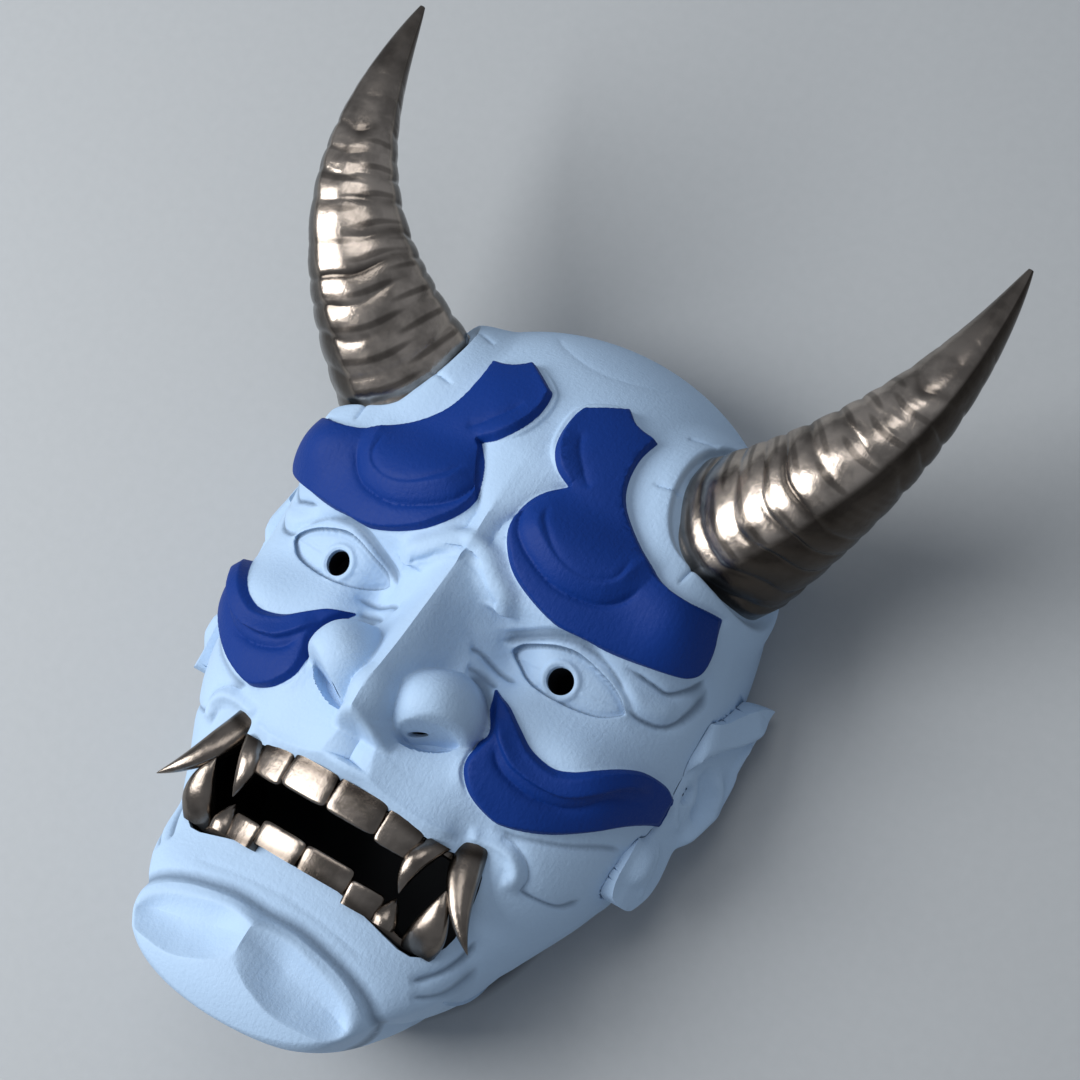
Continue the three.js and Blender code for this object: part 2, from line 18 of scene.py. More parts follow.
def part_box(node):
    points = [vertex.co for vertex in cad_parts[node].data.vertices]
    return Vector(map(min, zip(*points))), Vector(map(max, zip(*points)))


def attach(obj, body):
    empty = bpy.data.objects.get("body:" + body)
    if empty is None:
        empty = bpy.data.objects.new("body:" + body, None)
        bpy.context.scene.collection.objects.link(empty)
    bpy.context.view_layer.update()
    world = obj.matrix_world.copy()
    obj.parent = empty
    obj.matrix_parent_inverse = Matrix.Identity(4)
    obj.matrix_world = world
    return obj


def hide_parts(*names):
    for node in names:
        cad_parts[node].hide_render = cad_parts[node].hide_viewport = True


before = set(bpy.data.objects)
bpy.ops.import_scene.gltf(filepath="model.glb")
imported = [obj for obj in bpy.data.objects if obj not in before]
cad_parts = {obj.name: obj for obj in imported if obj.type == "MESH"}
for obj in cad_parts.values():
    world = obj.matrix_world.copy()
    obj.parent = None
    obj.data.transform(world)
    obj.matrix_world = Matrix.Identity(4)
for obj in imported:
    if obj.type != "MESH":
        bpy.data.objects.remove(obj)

LOG = logging.getLogger("oni_mask")
MM = 0.001
Points = Sequence[Sequence[float]]
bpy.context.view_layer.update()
BACK = -60.0
TOP = 98.0
BOTTOM = -120.5
SEAT = np.array([0.0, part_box("face_shell")[0].y / MM - BOTTOM, -BACK])


class Slot(Enum):
    """Material slots of the record."""

    SKIN = "skin_paint"
    BRONZE = "bronze_lacquer"


def profile(knots: Points) -> Callable[[np.ndarray], np.ndarray]:
    """Smooth curve through pairs of position and value, flat beyond its ends.

    Args:
        knots: Pairs of position and value, in rising order.

    Returns:
        A function of an array of positions.
    """
    at, value = np.array(knots, float).T
    places = np.arange(len(at))
    before, after = np.maximum(places - 1, 0), np.minimum(places + 1, len(at) - 1)
    slope = (value[after] - value[before]) / (at[after] - at[before])

    def curve(position: np.ndarray) -> np.ndarray:
        """Value of the curve at each position."""
        s = np.clip(position, at[0], at[-1])
        k = np.clip(np.searchsorted(at, s, side="right") - 1, 0, len(at) - 2)
        span = at[k + 1] - at[k]
        t = (s - at[k]) / span
        ease = t * t * (3 - 2 * t)
        bend = span * t * (1 - t) * ((1 - t) * slope[k] - t * slope[k + 1])
        return value[k] * (1 - ease) + value[k + 1] * ease + bend

    return curve


def ease(t: np.ndarray) -> np.ndarray:
    """Smooth step from 0 to 1 as t goes from 0 to 1."""
    t = np.clip(t, 0, 1)
    return t * t * (3 - 2 * t)


def soft_max(a: np.ndarray, b: np.ndarray, blend: float) -> np.ndarray:
    """Larger of two heights, with a fillet of about this size where they meet."""
    h = np.maximum(blend - np.abs(a - b), 0) / blend
    return np.maximum(a, b) + h * h * blend / 4


def soft_min(a: np.ndarray, b: np.ndarray, blend: float) -> np.ndarray:
    """Smaller of two heights, with a fillet of about this size where they meet."""
    return -soft_max(-a, -b, blend)


def turned_axes(x: np.ndarray, y: np.ndarray, angle: float) -> tuple[np.ndarray, np.ndarray]:
    """Coordinates along two axes that are turned anticlockwise by an angle in degrees."""
    cosine, sine = math.cos(math.radians(angle)), math.sin(math.radians(angle))
    return x * cosine + y * sine, y * cosine - x * sine


def smooth_line(points: Points, closed: bool = False, steps: int = 6) -> np.ndarray:
    """Catmull-Rom curve through points, with a sharp corner where a point is given twice.

    Args:
        points: Points of the line, with any number of values each.
        closed: Whether the last point joins the first.
        steps: Pieces between two corners.

    Returns:
        Rows of points along the curve.
    """
    p = np.array(points, float)
    count = len(p)
    spans = count if closed else count - 1
    rows = []
    for k in range(spans):
        pick = [(k + d) % count if closed else min(max(k + d, 0), count - 1) for d in (-1, 0, 1, 2)]
        a, b, c, d = p[pick]
        if np.allclose(b, c):
            continue
        for t in np.arange(steps) / steps:
            rows.append(0.5 * (2 * b + (c - a) * t + (2 * a - 5 * b + 4 * c - d) * t**2
                               + (3 * b - a - 3 * c + d) * t**3))
    if not closed:
        rows.append(p[-1])
    return np.array(rows)


class Skull:
    """The smooth head under the carving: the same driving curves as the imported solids."""

    width = staticmethod(profile([
        (-120.5, 112), (-116, 92), (-110, 77), (-100, 67.5), (-88, 66.5), (-75, 64), (-45, 69.5), (0, 73),
        (50, 78.5), (98, 92),
    ]))
    widest = staticmethod(profile([
        (-120.5, 1), (-105, 0), (-93, -10), (-75, -28), (-46, -38), (0, -45), (98, -48),
    ]))
    height = staticmethod(profile([
        (-120.5, 22), (-105, 20), (-92, 26), (-70, 41), (-48, 50), (-20, 54), (0, 54), (22, 60), (46, 62),
        (74, 67), (98, 68),
    ]))
    rim_share = staticmethod(profile([(-120.5, 0.9), (-60, 0.93), (-20, 0.96), (98, 0.97)]))
    squareness = 2.3
    masses = (
        (62, 28, 13, 12, 12), (50, 34, 10, 8, 3), (36, 0, 14, 9, -3.5), (21, -2, 7, 10, -8),
        (57, -18, 14, 10, 7), (0, -42, 13, 10, 6), (38, -48, 9, 9, -5), (0, -103, 28, 13, 5),
    )
    hollow_masses = (
        (62, 28, 12, 11, 8), (28, -1, 21, 16, -11), (57, -18, 12, 9, 4), (0, -42, 12, 9, 4),
        (38, -48, 13, 13, -6), (0, -103, 22, 11, 3), (0, -26, 13, 12, 9),
    )
    middle = (TOP + BOTTOM) / 2
    half = (TOP - BOTTOM) / 2

    @classmethod
    def sheet(cls, columns: int, rows: int, inset: float, masses: Points) -> np.ndarray:
        """Grid of points bent over the head.

        Args:
            columns: Cells across the face.
            rows: Cells from chin to crown.
            inset: Distance inside the skin.
            masses: Swellings as centre x and y, reach in x and y, and height.

        Returns:
            Array of rows + 1 by columns + 1 points.
        """
        u = np.linspace(-1, 1, columns + 1)
        v = np.linspace(-1, 1, rows + 1)
        s, t = np.meshgrid(*(w * (1.12 - 0.12 * w**4) for w in (u, v)))
        p, q = s * np.sqrt(1 - t * t / 2), t * np.sqrt(1 - s * s / 2)
        reach = np.minimum(np.hypot(p, q), 1)
        y = cls.middle + cls.half * q
        x = cls.width(y) * p
        rise = (1 - reach**cls.squareness) ** (1 / cls.squareness)
        z = cls.widest(y) + cls.height(y) * rise
        for cx, cy, rx, ry, height in masses:
            swelling = np.exp(-(((np.abs(x) - cx) / rx) ** 2) - ((y - cy) / ry) ** 2)
            z += height * swelling * np.minimum(1, rise * 4)
        pull = np.maximum(reach, 1e-6) ** (cls.squareness - 2)
        normal = np.stack([
            pull * p / cls.width(y), pull * q / cls.half, rise ** (cls.squareness - 1) / cls.height(y),
        ], -1)
        normal /= np.linalg.norm(normal, axis=-1, keepdims=True)
        return np.stack([x, y, z], -1) - inset * normal


def border_of(grid: np.ndarray) -> np.ndarray:
    """Indices of a grid's border points, once round, starting at its first corner."""
    return np.concatenate([grid[0, :-1], grid[:-1, -1], grid[-1, :0:-1], grid[:0:-1, 0]])


def band(lower: np.ndarray, upper: np.ndarray) -> np.ndarray:
    """Quads between two closed rings of equal length."""
    return np.stack([lower, np.roll(lower, -1), np.roll(upper, -1), upper], -1)


def tube(rings: int, sides: int, flip: bool) -> list[tuple[int, ...]]:
    """Faces of a closed tube: quads between its rings of points, and a cap at either end.

    Args:
        rings: Number of rings.
        sides: Points in each ring.
        flip: Whether the faces turn the other way.

    Returns:
        Corner indices of each face.
    """
    faces = []
    for n in range(rings - 1):
        lower = n * sides + np.arange(sides)
        faces += [tuple(f) for f in band(lower, lower + sides).tolist()]
    faces += [tuple(reversed(range(sides))), tuple(range((rings - 1) * sides, rings * sides))]
    return [f[::-1] for f in faces] if flip else faces


def add_object(name: str, data: bpy.types.ID) -> bpy.types.Object:
    """New object around this data, linked to the scene."""
    item = bpy.data.objects.new(name, data)
    bpy.context.scene.collection.objects.link(item)
    return item


def build_mesh(name: str, points: np.ndarray, faces: Sequence[Sequence[int]]) -> bpy.types.Object:
    """Object from points in millimetres on the face, with smooth shading.

    Args:
        name: Name of the piece.
        points: Rows of x, y, z on the face.
        faces: Corner indices of each face.

    Returns:
        The new object, linked to the scene.
    """
    mesh = bpy.data.meshes.new(name)
    mesh.from_pydata(((points + SEAT) * MM).tolist(), [], faces)
    mesh.validate()
    mesh.shade_smooth()
    return add_object(name, mesh)


def read_points(mesh: bpy.types.Mesh) -> np.ndarray:
    """Points of a mesh in millimetres on the face."""
    flat = np.empty(len(mesh.vertices) * 3, np.float32)
    mesh.vertices.foreach_get("co", flat)
    return flat.reshape(-1, 3).astype(float) / MM - SEAT


def apply_modifiers(piece: bpy.types.Object) -> None:
    """Replace a piece's mesh by the result of its modifiers."""
    graph = bpy.context.evaluated_depsgraph_get()
    done = bpy.data.meshes.new_from_object(piece.evaluated_get(graph))
    piece.modifiers.clear()
    spent, piece.data = piece.data, done
    bpy.data.meshes.remove(spent)


def combine(piece: bpy.types.Object, tool: bpy.types.Object, operation: str) -> None:
    """Cut a piece with a tool, or weld the tool to it, and use the tool up."""
    modifier = piece.modifiers.new(operation, "BOOLEAN")
    modifier.operation = operation
    modifier.object = tool
    modifier.solver = "EXACT"
    apply_modifiers(piece)
    bpy.data.objects.remove(tool)


class Relief:
    """Heights that are laid over a sheet by the distance from lines drawn on it."""

    def __init__(self, across: np.ndarray, y: np.ndarray) -> None:
        """Start flat, on points with these two coordinates."""
        self.across, self.y = across, y
        self.relief = np.zeros(len(y))

    def measure(self, line: np.ndarray, closed: bool, reach: float) -> tuple[np.ndarray, ...]:
        """Distance of the sheet from a line.

        Args:
            line: Rows of points.
            closed: Whether the line is a ring.
            reach: How far from the line the sheet is measured.

        Returns:
            Indices of the points measured, their distance, positive on the line's left or inside
            a ring, and how far along the line the nearest place is, from 0 to 1.
        """
        low, high = line.min(0) - reach, line.max(0) + reach
        inside = (self.across > low[0]) & (self.across < high[0])
        pick = np.nonzero(inside & (self.y > low[1]) & (self.y < high[1]))[0]
        px, py = self.across[pick], self.y[pick]
        best = np.full(len(pick), 1e9)
        side = np.zeros(len(pick))
        along = np.zeros(len(pick))
        turns = np.zeros(len(pick), bool)
        ends = np.vstack([line, line[:1]]) if closed else line
        count = len(ends) - 1
        for k in range(count):
            (ax, ay), (bx, by) = ends[k], ends[k + 1]
            dx, dy = bx - ax, by - ay
            t = np.clip(((px - ax) * dx + (py - ay) * dy) / max(dx * dx + dy * dy, 1e-9), 0, 1)
            ox, oy = px - ax - t * dx, py - ay - t * dy
            far = ox * ox + oy * oy
            closer = far < best
            best = np.where(closer, far, best)
            side = np.where(closer, dx * oy - dy * ox, side)
            along = np.where(closer, (k + t) / count, along)
            if closed and ay != by:
                turns ^= ((ay > py) != (by > py)) & (px < ax + (py - ay) / (by - ay) * dx)
        distance = np.sqrt(best)
        sign = np.where(turns, 1, -1) if closed else np.where(side < 0, -1, 1)
        return pick, distance * sign, along

    def within(self, ring: Points, reach: float) -> tuple[np.ndarray, np.ndarray]:
        """Points in or near a smooth ring, and how far inside it each one lies."""
        pick, inside, _ = self.measure(smooth_line(ring, closed=True), True, reach)
        return pick, inside

    @staticmethod
    def runs_out(along: np.ndarray, fade: float) -> np.ndarray:
        """Share that falls to nothing over the ends of a line."""
        return ease(along / fade) * ease((1 - along) / fade) if fade else np.ones_like(along)

    def crease(self, points: Points, depth: float, width: float, fade: float = 0.2,
               bend: float = 1.3) -> None:
        """Groove, or ridge where the depth is below zero.

        Args:
            points: Its course.
            depth: Depth in the middle of its course.
            width: Half width at the top.
            fade: Share of the course over which each end runs out.
            bend: Section: 1 is a sharp V and 2 is round.
        """
        pick, distance, along = self.measure(smooth_line(points), False, 3 * width)
        section = np.exp(-((np.abs(distance) / width) ** bend))
        self.relief[pick] -= depth * section * self.runs_out(along, fade)

    def step(self, points: Points, rise: float, back: float, drop: float, fade: float = 0.12) -> None:
        """Swelling that grows towards a line from its right side and drops away on its left.

        Args:
            points: Its course.
            rise: Height at the line.
            back: Distance over which the swelling grows.
            drop: Width of the fall beyond the line.
            fade: Share of the course over which each end runs out.
        """
        pick, distance, along = self.measure(smooth_line(points), False, 2.5 * max(back, drop))
        swelling = np.exp(-((np.abs(distance) / back) ** 1.5))
        section = np.where(distance < 0, swelling, 1 - ease(distance / drop))
        self.relief[pick] += rise * section * self.runs_out(along, fade)

    def terrace(self, points: Points, rise: float, ramp: float, top: float) -> None:
        """Ramp up inside a ring to a level that runs out towards the crown.

        Args:
            points: Points of the ring.
            rise: Height of the level.
            ramp: Width of the ramp.
            top: Height on the face at which the level has run out.
        """
        pick, inside = self.within(points, 1)
        self.relief[pick] += rise * np.clip(inside / ramp, 0, 1) * ease((top - self.y[pick]) / 15)

    def plate(self, points: Points, rise: float, bevel: float) -> None:
        """Raise all that lies inside a ring, with a bevelled edge.

        Args:
            points: Points of the ring.
            rise: Height of the plate.
            bevel: Width of its edge.
        """
        pick, inside = self.within(points, 3)
        self.relief[pick] += rise * np.clip(inside / bevel + 0.3, 0, 1)


class Clay(Relief):
    """The front of the face while it is carved: heights first, then relief along the normals."""

    def __init__(self, columns: int, rows: int) -> None:
        """Start from the smooth head."""
        self.shape = (rows + 1, columns + 1)
        base = Skull.sheet(columns, rows, 0, Skull.masses).reshape(-1, 3)
        self.x, y, self.z = base.T.copy()
        super().__init__(np.abs(self.x), y)

    def normals(self) -> np.ndarray:
        """Unit normals of the carved heights."""
        points = np.stack([self.x, self.y, self.z], -1).reshape(*self.shape, 3)
        normal = np.cross(np.gradient(points, axis=1), np.gradient(points, axis=0))
        for _ in range(6):
            middle = normal[1:-1, 1:-1]
            middle += 0.5 * (normal[:-2, 1:-1] + normal[2:, 1:-1] + normal[1:-1, :-2] + normal[1:-1, 2:])
        normal /= np.maximum(np.linalg.norm(normal, axis=-1, keepdims=True), 1e-9)
        return normal.reshape(-1, 3)


BROW_OUTLINE = [
    (15.3, 73.6), (15.3, 73.6), (20, 70), (26.2, 68.9), (26.2, 68.9), (25.4, 62), (26.6, 54), (30.2, 47.6),
    (38.6, 40), (44, 36.6), (50.2, 34), (56, 33.2), (62.6, 34), (62.6, 34), (65.2, 28), (65.6, 22),
    (64, 18.2), (60, 16), (50.2, 13.6), (40.4, 12.4), (32.5, 12), (25.5, 13.3), (17.5, 16.5), (12.3, 20.1),
    (8, 25.5), (6.2, 30.3), (6.8, 35.4), (9.5, 41.2), (14.4, 46.4), (14.4, 46.4), (9.5, 49), (6, 53.6),
    (4.4, 60), (4.8, 66.6), (7.3, 68.6),
]
CHEEK_OUTLINE = [
    (22.8, -10.4), (22.8, -10.4), (25.4, -11.6), (29.4, -13.2), (34.7, -16.8), (40.2, -20.2), (47, -21.5),
    (52, -19.9), (56, -17), (61.1, -12.5), (64.8, -10.3), (69, -10.2), (70.8, -12), (70.8, -12),
    (70.6, -19.6), (70.6, -19.6), (65.9, -24.6), (60.8, -29.9), (53.9, -35.4), (47.9, -38.6),
    (41.2, -40.4), (36.3, -39.7), (31.4, -37.4), (28, -33.6), (26.9, -30), (27.7, -25), (28.6, -21.4),
    (26.6, -16.5),
]
EYE_OUTLINE = [
    (20.4, 0.9), (20.4, 0.9), (22.6, 3.2), (28.8, 5.8), (33.5, 7.4), (38.4, 7.9), (46, 6.1), (51, 3.6),
    (53.8, 0.8), (53.8, 0.8), (49.3, -2.8), (42.8, -4.4), (34.3, -4.8), (26.8, -3.1),
]
MOUTH_HALF = [
    (0, -51), (12, -51.5), (24, -52.8), (32, -53.2), (38.6, -52), (42.6, -55), (43.6, -65), (42, -75.5),
    (36, -82), (24, -79.5), (12, -76.5), (0, -75.5),
]
EYE_APART = 36
HORN_ROOT = np.array([54.4, 58.5, -17.2])
HORN_LENGTH = 116.0
HORN_COURSE = HORN_ROOT + HORN_LENGTH * np.array([
    (0, 0, 0), (0.247, 0.187, 0.312), (0.345, 0.442, 0.234), (0.358, 0.821, 0.229),
])
HORN_RADIUS = 21.5
# Depth under the skin past which the walls of the openings take the black painted shade.
SHADE_PAINT_DEPTH = 1.7


def bezier(t: np.ndarray, corners: np.ndarray) -> tuple[np.ndarray, np.ndarray]:
    """Points and unit tangents of a cubic curve.

    Args:
        t: Places along the curve, from 0 to 1.
        corners: Its four control points.

    Returns:
        Rows of points and rows of tangents.
    """
    a, b, c, d = corners
    t = np.asarray(t, float)[:, None]
    place = (1 - t) ** 3 * a + 3 * t * (1 - t) ** 2 * b + 3 * t * t * (1 - t) * c + t**3 * d
    way = (1 - t) ** 2 * (b - a) + 2 * t * (1 - t) * (c - b) + t * t * (d - c)
    return place, way / np.linalg.norm(way, axis=1, keepdims=True)


@dataclass(frozen=True)
class Paint:
    """A brushed matte paint."""

    colour: tuple[float, float, float]
    shade: float


SKY = Paint((0.425, 0.585, 0.79), 0.08)
NAVY = Paint((0.002, 0.034, 0.23), 0.25)
# Near-black paint used as painted shade: inside the shell, on the deeper walls of the openings and on the
# floor under the mask.
PAINTED_SHADE = Paint((0.012, 0.014, 0.018), 0.40)
# Dark blue-grey laid into the carved grooves of the light skin as painted shade.
PAINTED_CREASE_SHADE = Paint((0.045, 0.075, 0.13), 0.20)


@dataclass(frozen=True)
class Lacquer:
    """A metal lacquer with a darker tone in its hollows, whose dark colour also carries painted shade."""

    bright: tuple[float, float, float]
    dark: tuple[float, float, float]
    roughness: float


BRONZE = Lacquer((0.52, 0.45, 0.39), (0.030, 0.023, 0.018), 0.15)


class NodeBench:
    """Small helper that adds and joins shader nodes."""

    def __init__(self, tree: bpy.types.NodeTree) -> None:
        """Work on this tree."""
        self.tree = tree

    def add(self, kind: str, **values: object) -> bpy.types.Node:
        """New node with some of its properties and inputs set.

        Args:
            kind: Blender's name of the node.
            values: Properties by name, or inputs by name after in_, with spaces as underscores.

        Returns:
            The node.
        """
        node = self.tree.nodes.new(kind)
        for key, value in values.items():
            if key.startswith("in_"):
                self.feed(node.inputs[key[3:].replace("_", " ")], value)
            else:
                setattr(node, key, value)
        return node

    def feed(self, socket: bpy.types.NodeSocket, value: object) -> None:
        """Link an input to a socket, or set it to a number, a vector or a colour."""
        if isinstance(value, bpy.types.NodeSocket):
            self.tree.links.new(value, socket)
        elif socket.type == "RGBA":
            socket.default_value = (*value, 1)
        else:
            socket.default_value = value

    def join(self, source: bpy.types.NodeSocket, target: bpy.types.NodeSocket) -> None:
        """Link two sockets."""
        self.tree.links.new(source, target)

    def math(self, operation: str, a: object, b: object = 0.0,
             clamp: bool = False) -> bpy.types.NodeSocket:
        """Result of a Math node on two numbers or sockets."""
        node = self.tree.nodes.new("ShaderNodeMath")
        node.operation = operation
        node.use_clamp = clamp
        for socket, value in zip(node.inputs, (a, b)):
            self.feed(socket, value)
        return node.outputs[0]

    def mix(self, share: object, a: object, b: object) -> bpy.types.NodeSocket:
        """Mixed colour of two colours or sockets."""
        node = self.tree.nodes.new("ShaderNodeMix")
        node.data_type = "RGBA"
        for place, value in ((0, share), (6, a), (7, b)):
            self.feed(node.inputs[place], value)
        return node.outputs[2]


def grain_group() -> bpy.types.NodeTree:
    """Group for a brushed, slightly pitted coat: a fine relief and a mask of blotches."""
    group = bpy.data.node_groups.new("brushed_grain", "ShaderNodeTree")
    for name, default in (("Grain Scale", 900.0), ("Brush Scale", 60.0), ("Blotch Scale", 14.0)):
        socket = group.interface.new_socket(name, in_out="INPUT", socket_type="NodeSocketFloat")
        socket.default_value = default
    for name in ("Relief", "Blotch"):
        group.interface.new_socket(name, in_out="OUTPUT", socket_type="NodeSocketFloat")
    bench = NodeBench(group)
    ends = bench.add("NodeGroupInput"), bench.add("NodeGroupOutput")
    place = bench.add("ShaderNodeTexCoord").outputs["Object"]
    scales = ends[0].outputs
    grain = bench.add("ShaderNodeTexNoise", in_Vector=place, in_Scale=scales["Grain Scale"],
                      in_Detail=4.0, in_Roughness=0.6)
    stretch = bench.add("ShaderNodeMapping", in_Vector=place, in_Rotation=(0.2, 0.1, 0.5),
                        in_Scale=(12.0, 1.0, 3.0))
    brush = bench.add("ShaderNodeTexNoise", in_Vector=stretch.outputs[0], in_Scale=scales["Brush Scale"],
                      in_Detail=6.0, in_Roughness=0.7)
    blotch = bench.add("ShaderNodeTexNoise", in_Vector=place, in_Scale=scales["Blotch Scale"],
                       in_Detail=5.0, in_Roughness=0.55)
    both = bench.math("ADD", bench.math("MULTIPLY", grain.outputs["Fac"], 0.6),
                      bench.math("MULTIPLY", brush.outputs["Fac"], 0.4))
    bench.join(both, ends[1].inputs["Relief"])
    bench.join(blotch.outputs["Fac"], ends[1].inputs["Blotch"])
    return group


class Finishes:
    """The materials of the mask."""

    def __init__(self) -> None:
        """Build the shared group and the two materials."""
        self.grain = grain_group()
        self.casting = self._casting()
        self.bronze = self._bronze()

    def _start(self, name: str) -> tuple[bpy.types.Material, NodeBench, bpy.types.Node, bpy.types.Node]:
        """New material with a bench, its surface shader and the grain group."""
        material = bpy.data.materials.new(name)
        material.use_nodes = True
        bench = NodeBench(material.node_tree)
        shader = material.node_tree.nodes["Principled BSDF"]
        grain = bench.add("ShaderNodeGroup", node_tree=self.grain)
        return material, bench, shader, grain

    @staticmethod
    def _field(bench: NodeBench, name: str) -> bpy.types.NodeSocket:
        """Number that the mesh stores under this name."""
        return bench.add("ShaderNodeAttribute", attribute_name=name).outputs["Fac"]

    @staticmethod
    def _coat(bench: NodeBench, paint: Paint, blotch: bpy.types.NodeSocket) -> bpy.types.NodeSocket:
        """Colour of a paint that varies a little over the surface."""
        dark = tuple(c * (1 - paint.shade) for c in paint.colour)
        return bench.mix(blotch, dark, paint.colour)

    @staticmethod
    def _relief(bench: NodeBench, shader: bpy.types.Node, height: bpy.types.NodeSocket,
                depth: float) -> None:
        """Feed a height, in metres at full strength, to the shader's normal."""
        bump = bench.add("ShaderNodeBump", in_Strength=1.0, in_Distance=depth, in_Height=height)
        bench.join(bump.outputs[0], shader.inputs["Normal"])

    def _casting(self) -> bpy.types.Material:
        """Light blue skin, deep blue brows and flourishes, painted shade in the grooves, and black painted
        shade inside the shell.
        """
        material, bench, shader, grain = self._start("painted_casting")
        line, crease, depth = (self._field(bench, name) for name in ("paint_line", "crease", "depth"))
        blotch = grain.outputs["Blotch"]
        painted = bench.math("ADD", bench.math("MULTIPLY", line, 8.0), 0.5, clamp=True)
        colour = bench.mix(painted, self._coat(bench, SKY, blotch), self._coat(bench, NAVY, blotch))
        # Painted shade: the carved grooves of the light blue skin are darkened.
        crease_shading = bench.math("MULTIPLY", bench.math("SUBTRACT", crease, 0.45, clamp=True), 1.1, clamp=True)
        crease_shading = bench.math("MULTIPLY", crease_shading, bench.math("SUBTRACT", 1.0, painted))
        colour = bench.mix(crease_shading, colour, self._coat(bench, PAINTED_CREASE_SHADE, blotch))
        # Painted shade: the inside of the shell and the deeper walls of the openings turn near-black.
        sunk = bench.math("MULTIPLY", bench.math("SUBTRACT", depth, SHADE_PAINT_DEPTH), 4.0, clamp=True)
        colour = bench.mix(sunk, colour, self._coat(bench, PAINTED_SHADE, blotch))
        bench.join(colour, shader.inputs["Base Color"])
        rough = bench.math("ADD", bench.math("MULTIPLY", grain.outputs["Relief"], 0.25), 0.46)
        bench.join(rough, shader.inputs["Roughness"])
        shader.inputs["Specular IOR Level"].default_value = 0.18
        self._relief(bench, shader, grain.outputs["Relief"], 0.0003)
        return material

    def _bronze(self) -> bpy.types.Material:
        """Dark bronze lacquer over the horns and teeth, with painted shade on the horns' sides and teeth
        roots.
        """
        material, bench, shader, grain = self._start("bronze_lacquer")
        grain.inputs["Grain Scale"].default_value = 420.0
        grain.inputs["Blotch Scale"].default_value = 110.0
        crease = self._field(bench, "crease")
        blotch = bench.math("SUBTRACT", grain.outputs["Blotch"], 0.36)
        blotch = bench.math("MULTIPLY", blotch, 4.5, clamp=True)
        colour = bench.mix(blotch, tuple(0.55 * c for c in BRONZE.bright), BRONZE.bright)
        # The crease field mixes in the dark colour: darker tone in the grooves, and painted shade on the
        # horns' sides and at the teeth's roots.
        colour = bench.mix(crease, colour, BRONZE.dark)
        bench.join(colour, shader.inputs["Base Color"])
        shader.inputs["Metallic"].default_value = 1.0
        rough = bench.math("ADD", bench.math("MULTIPLY", grain.outputs["Blotch"], 0.16), BRONZE.roughness)
        bench.join(rough, shader.inputs["Roughness"])
        self._relief(bench, shader, grain.outputs["Relief"], 0.00016)
        return material


def dress(piece: bpy.types.Object, material: bpy.types.Material, node: str) -> None:
    """Give a piece its material, its body and the solid that it stands for."""
    piece.data.materials.append(material)
    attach(piece, "root")
    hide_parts(node)
    LOG.info("%s: %d faces", piece.name, len(piece.data.polygons))


def write_field(mesh: bpy.types.Mesh, name: str, values: np.ndarray) -> None:
    """Store one number for each point of a mesh."""
    layer = mesh.attributes.new(name, "FLOAT", "POINT")
    layer.data.foreach_set("value", values.astype(np.float32))


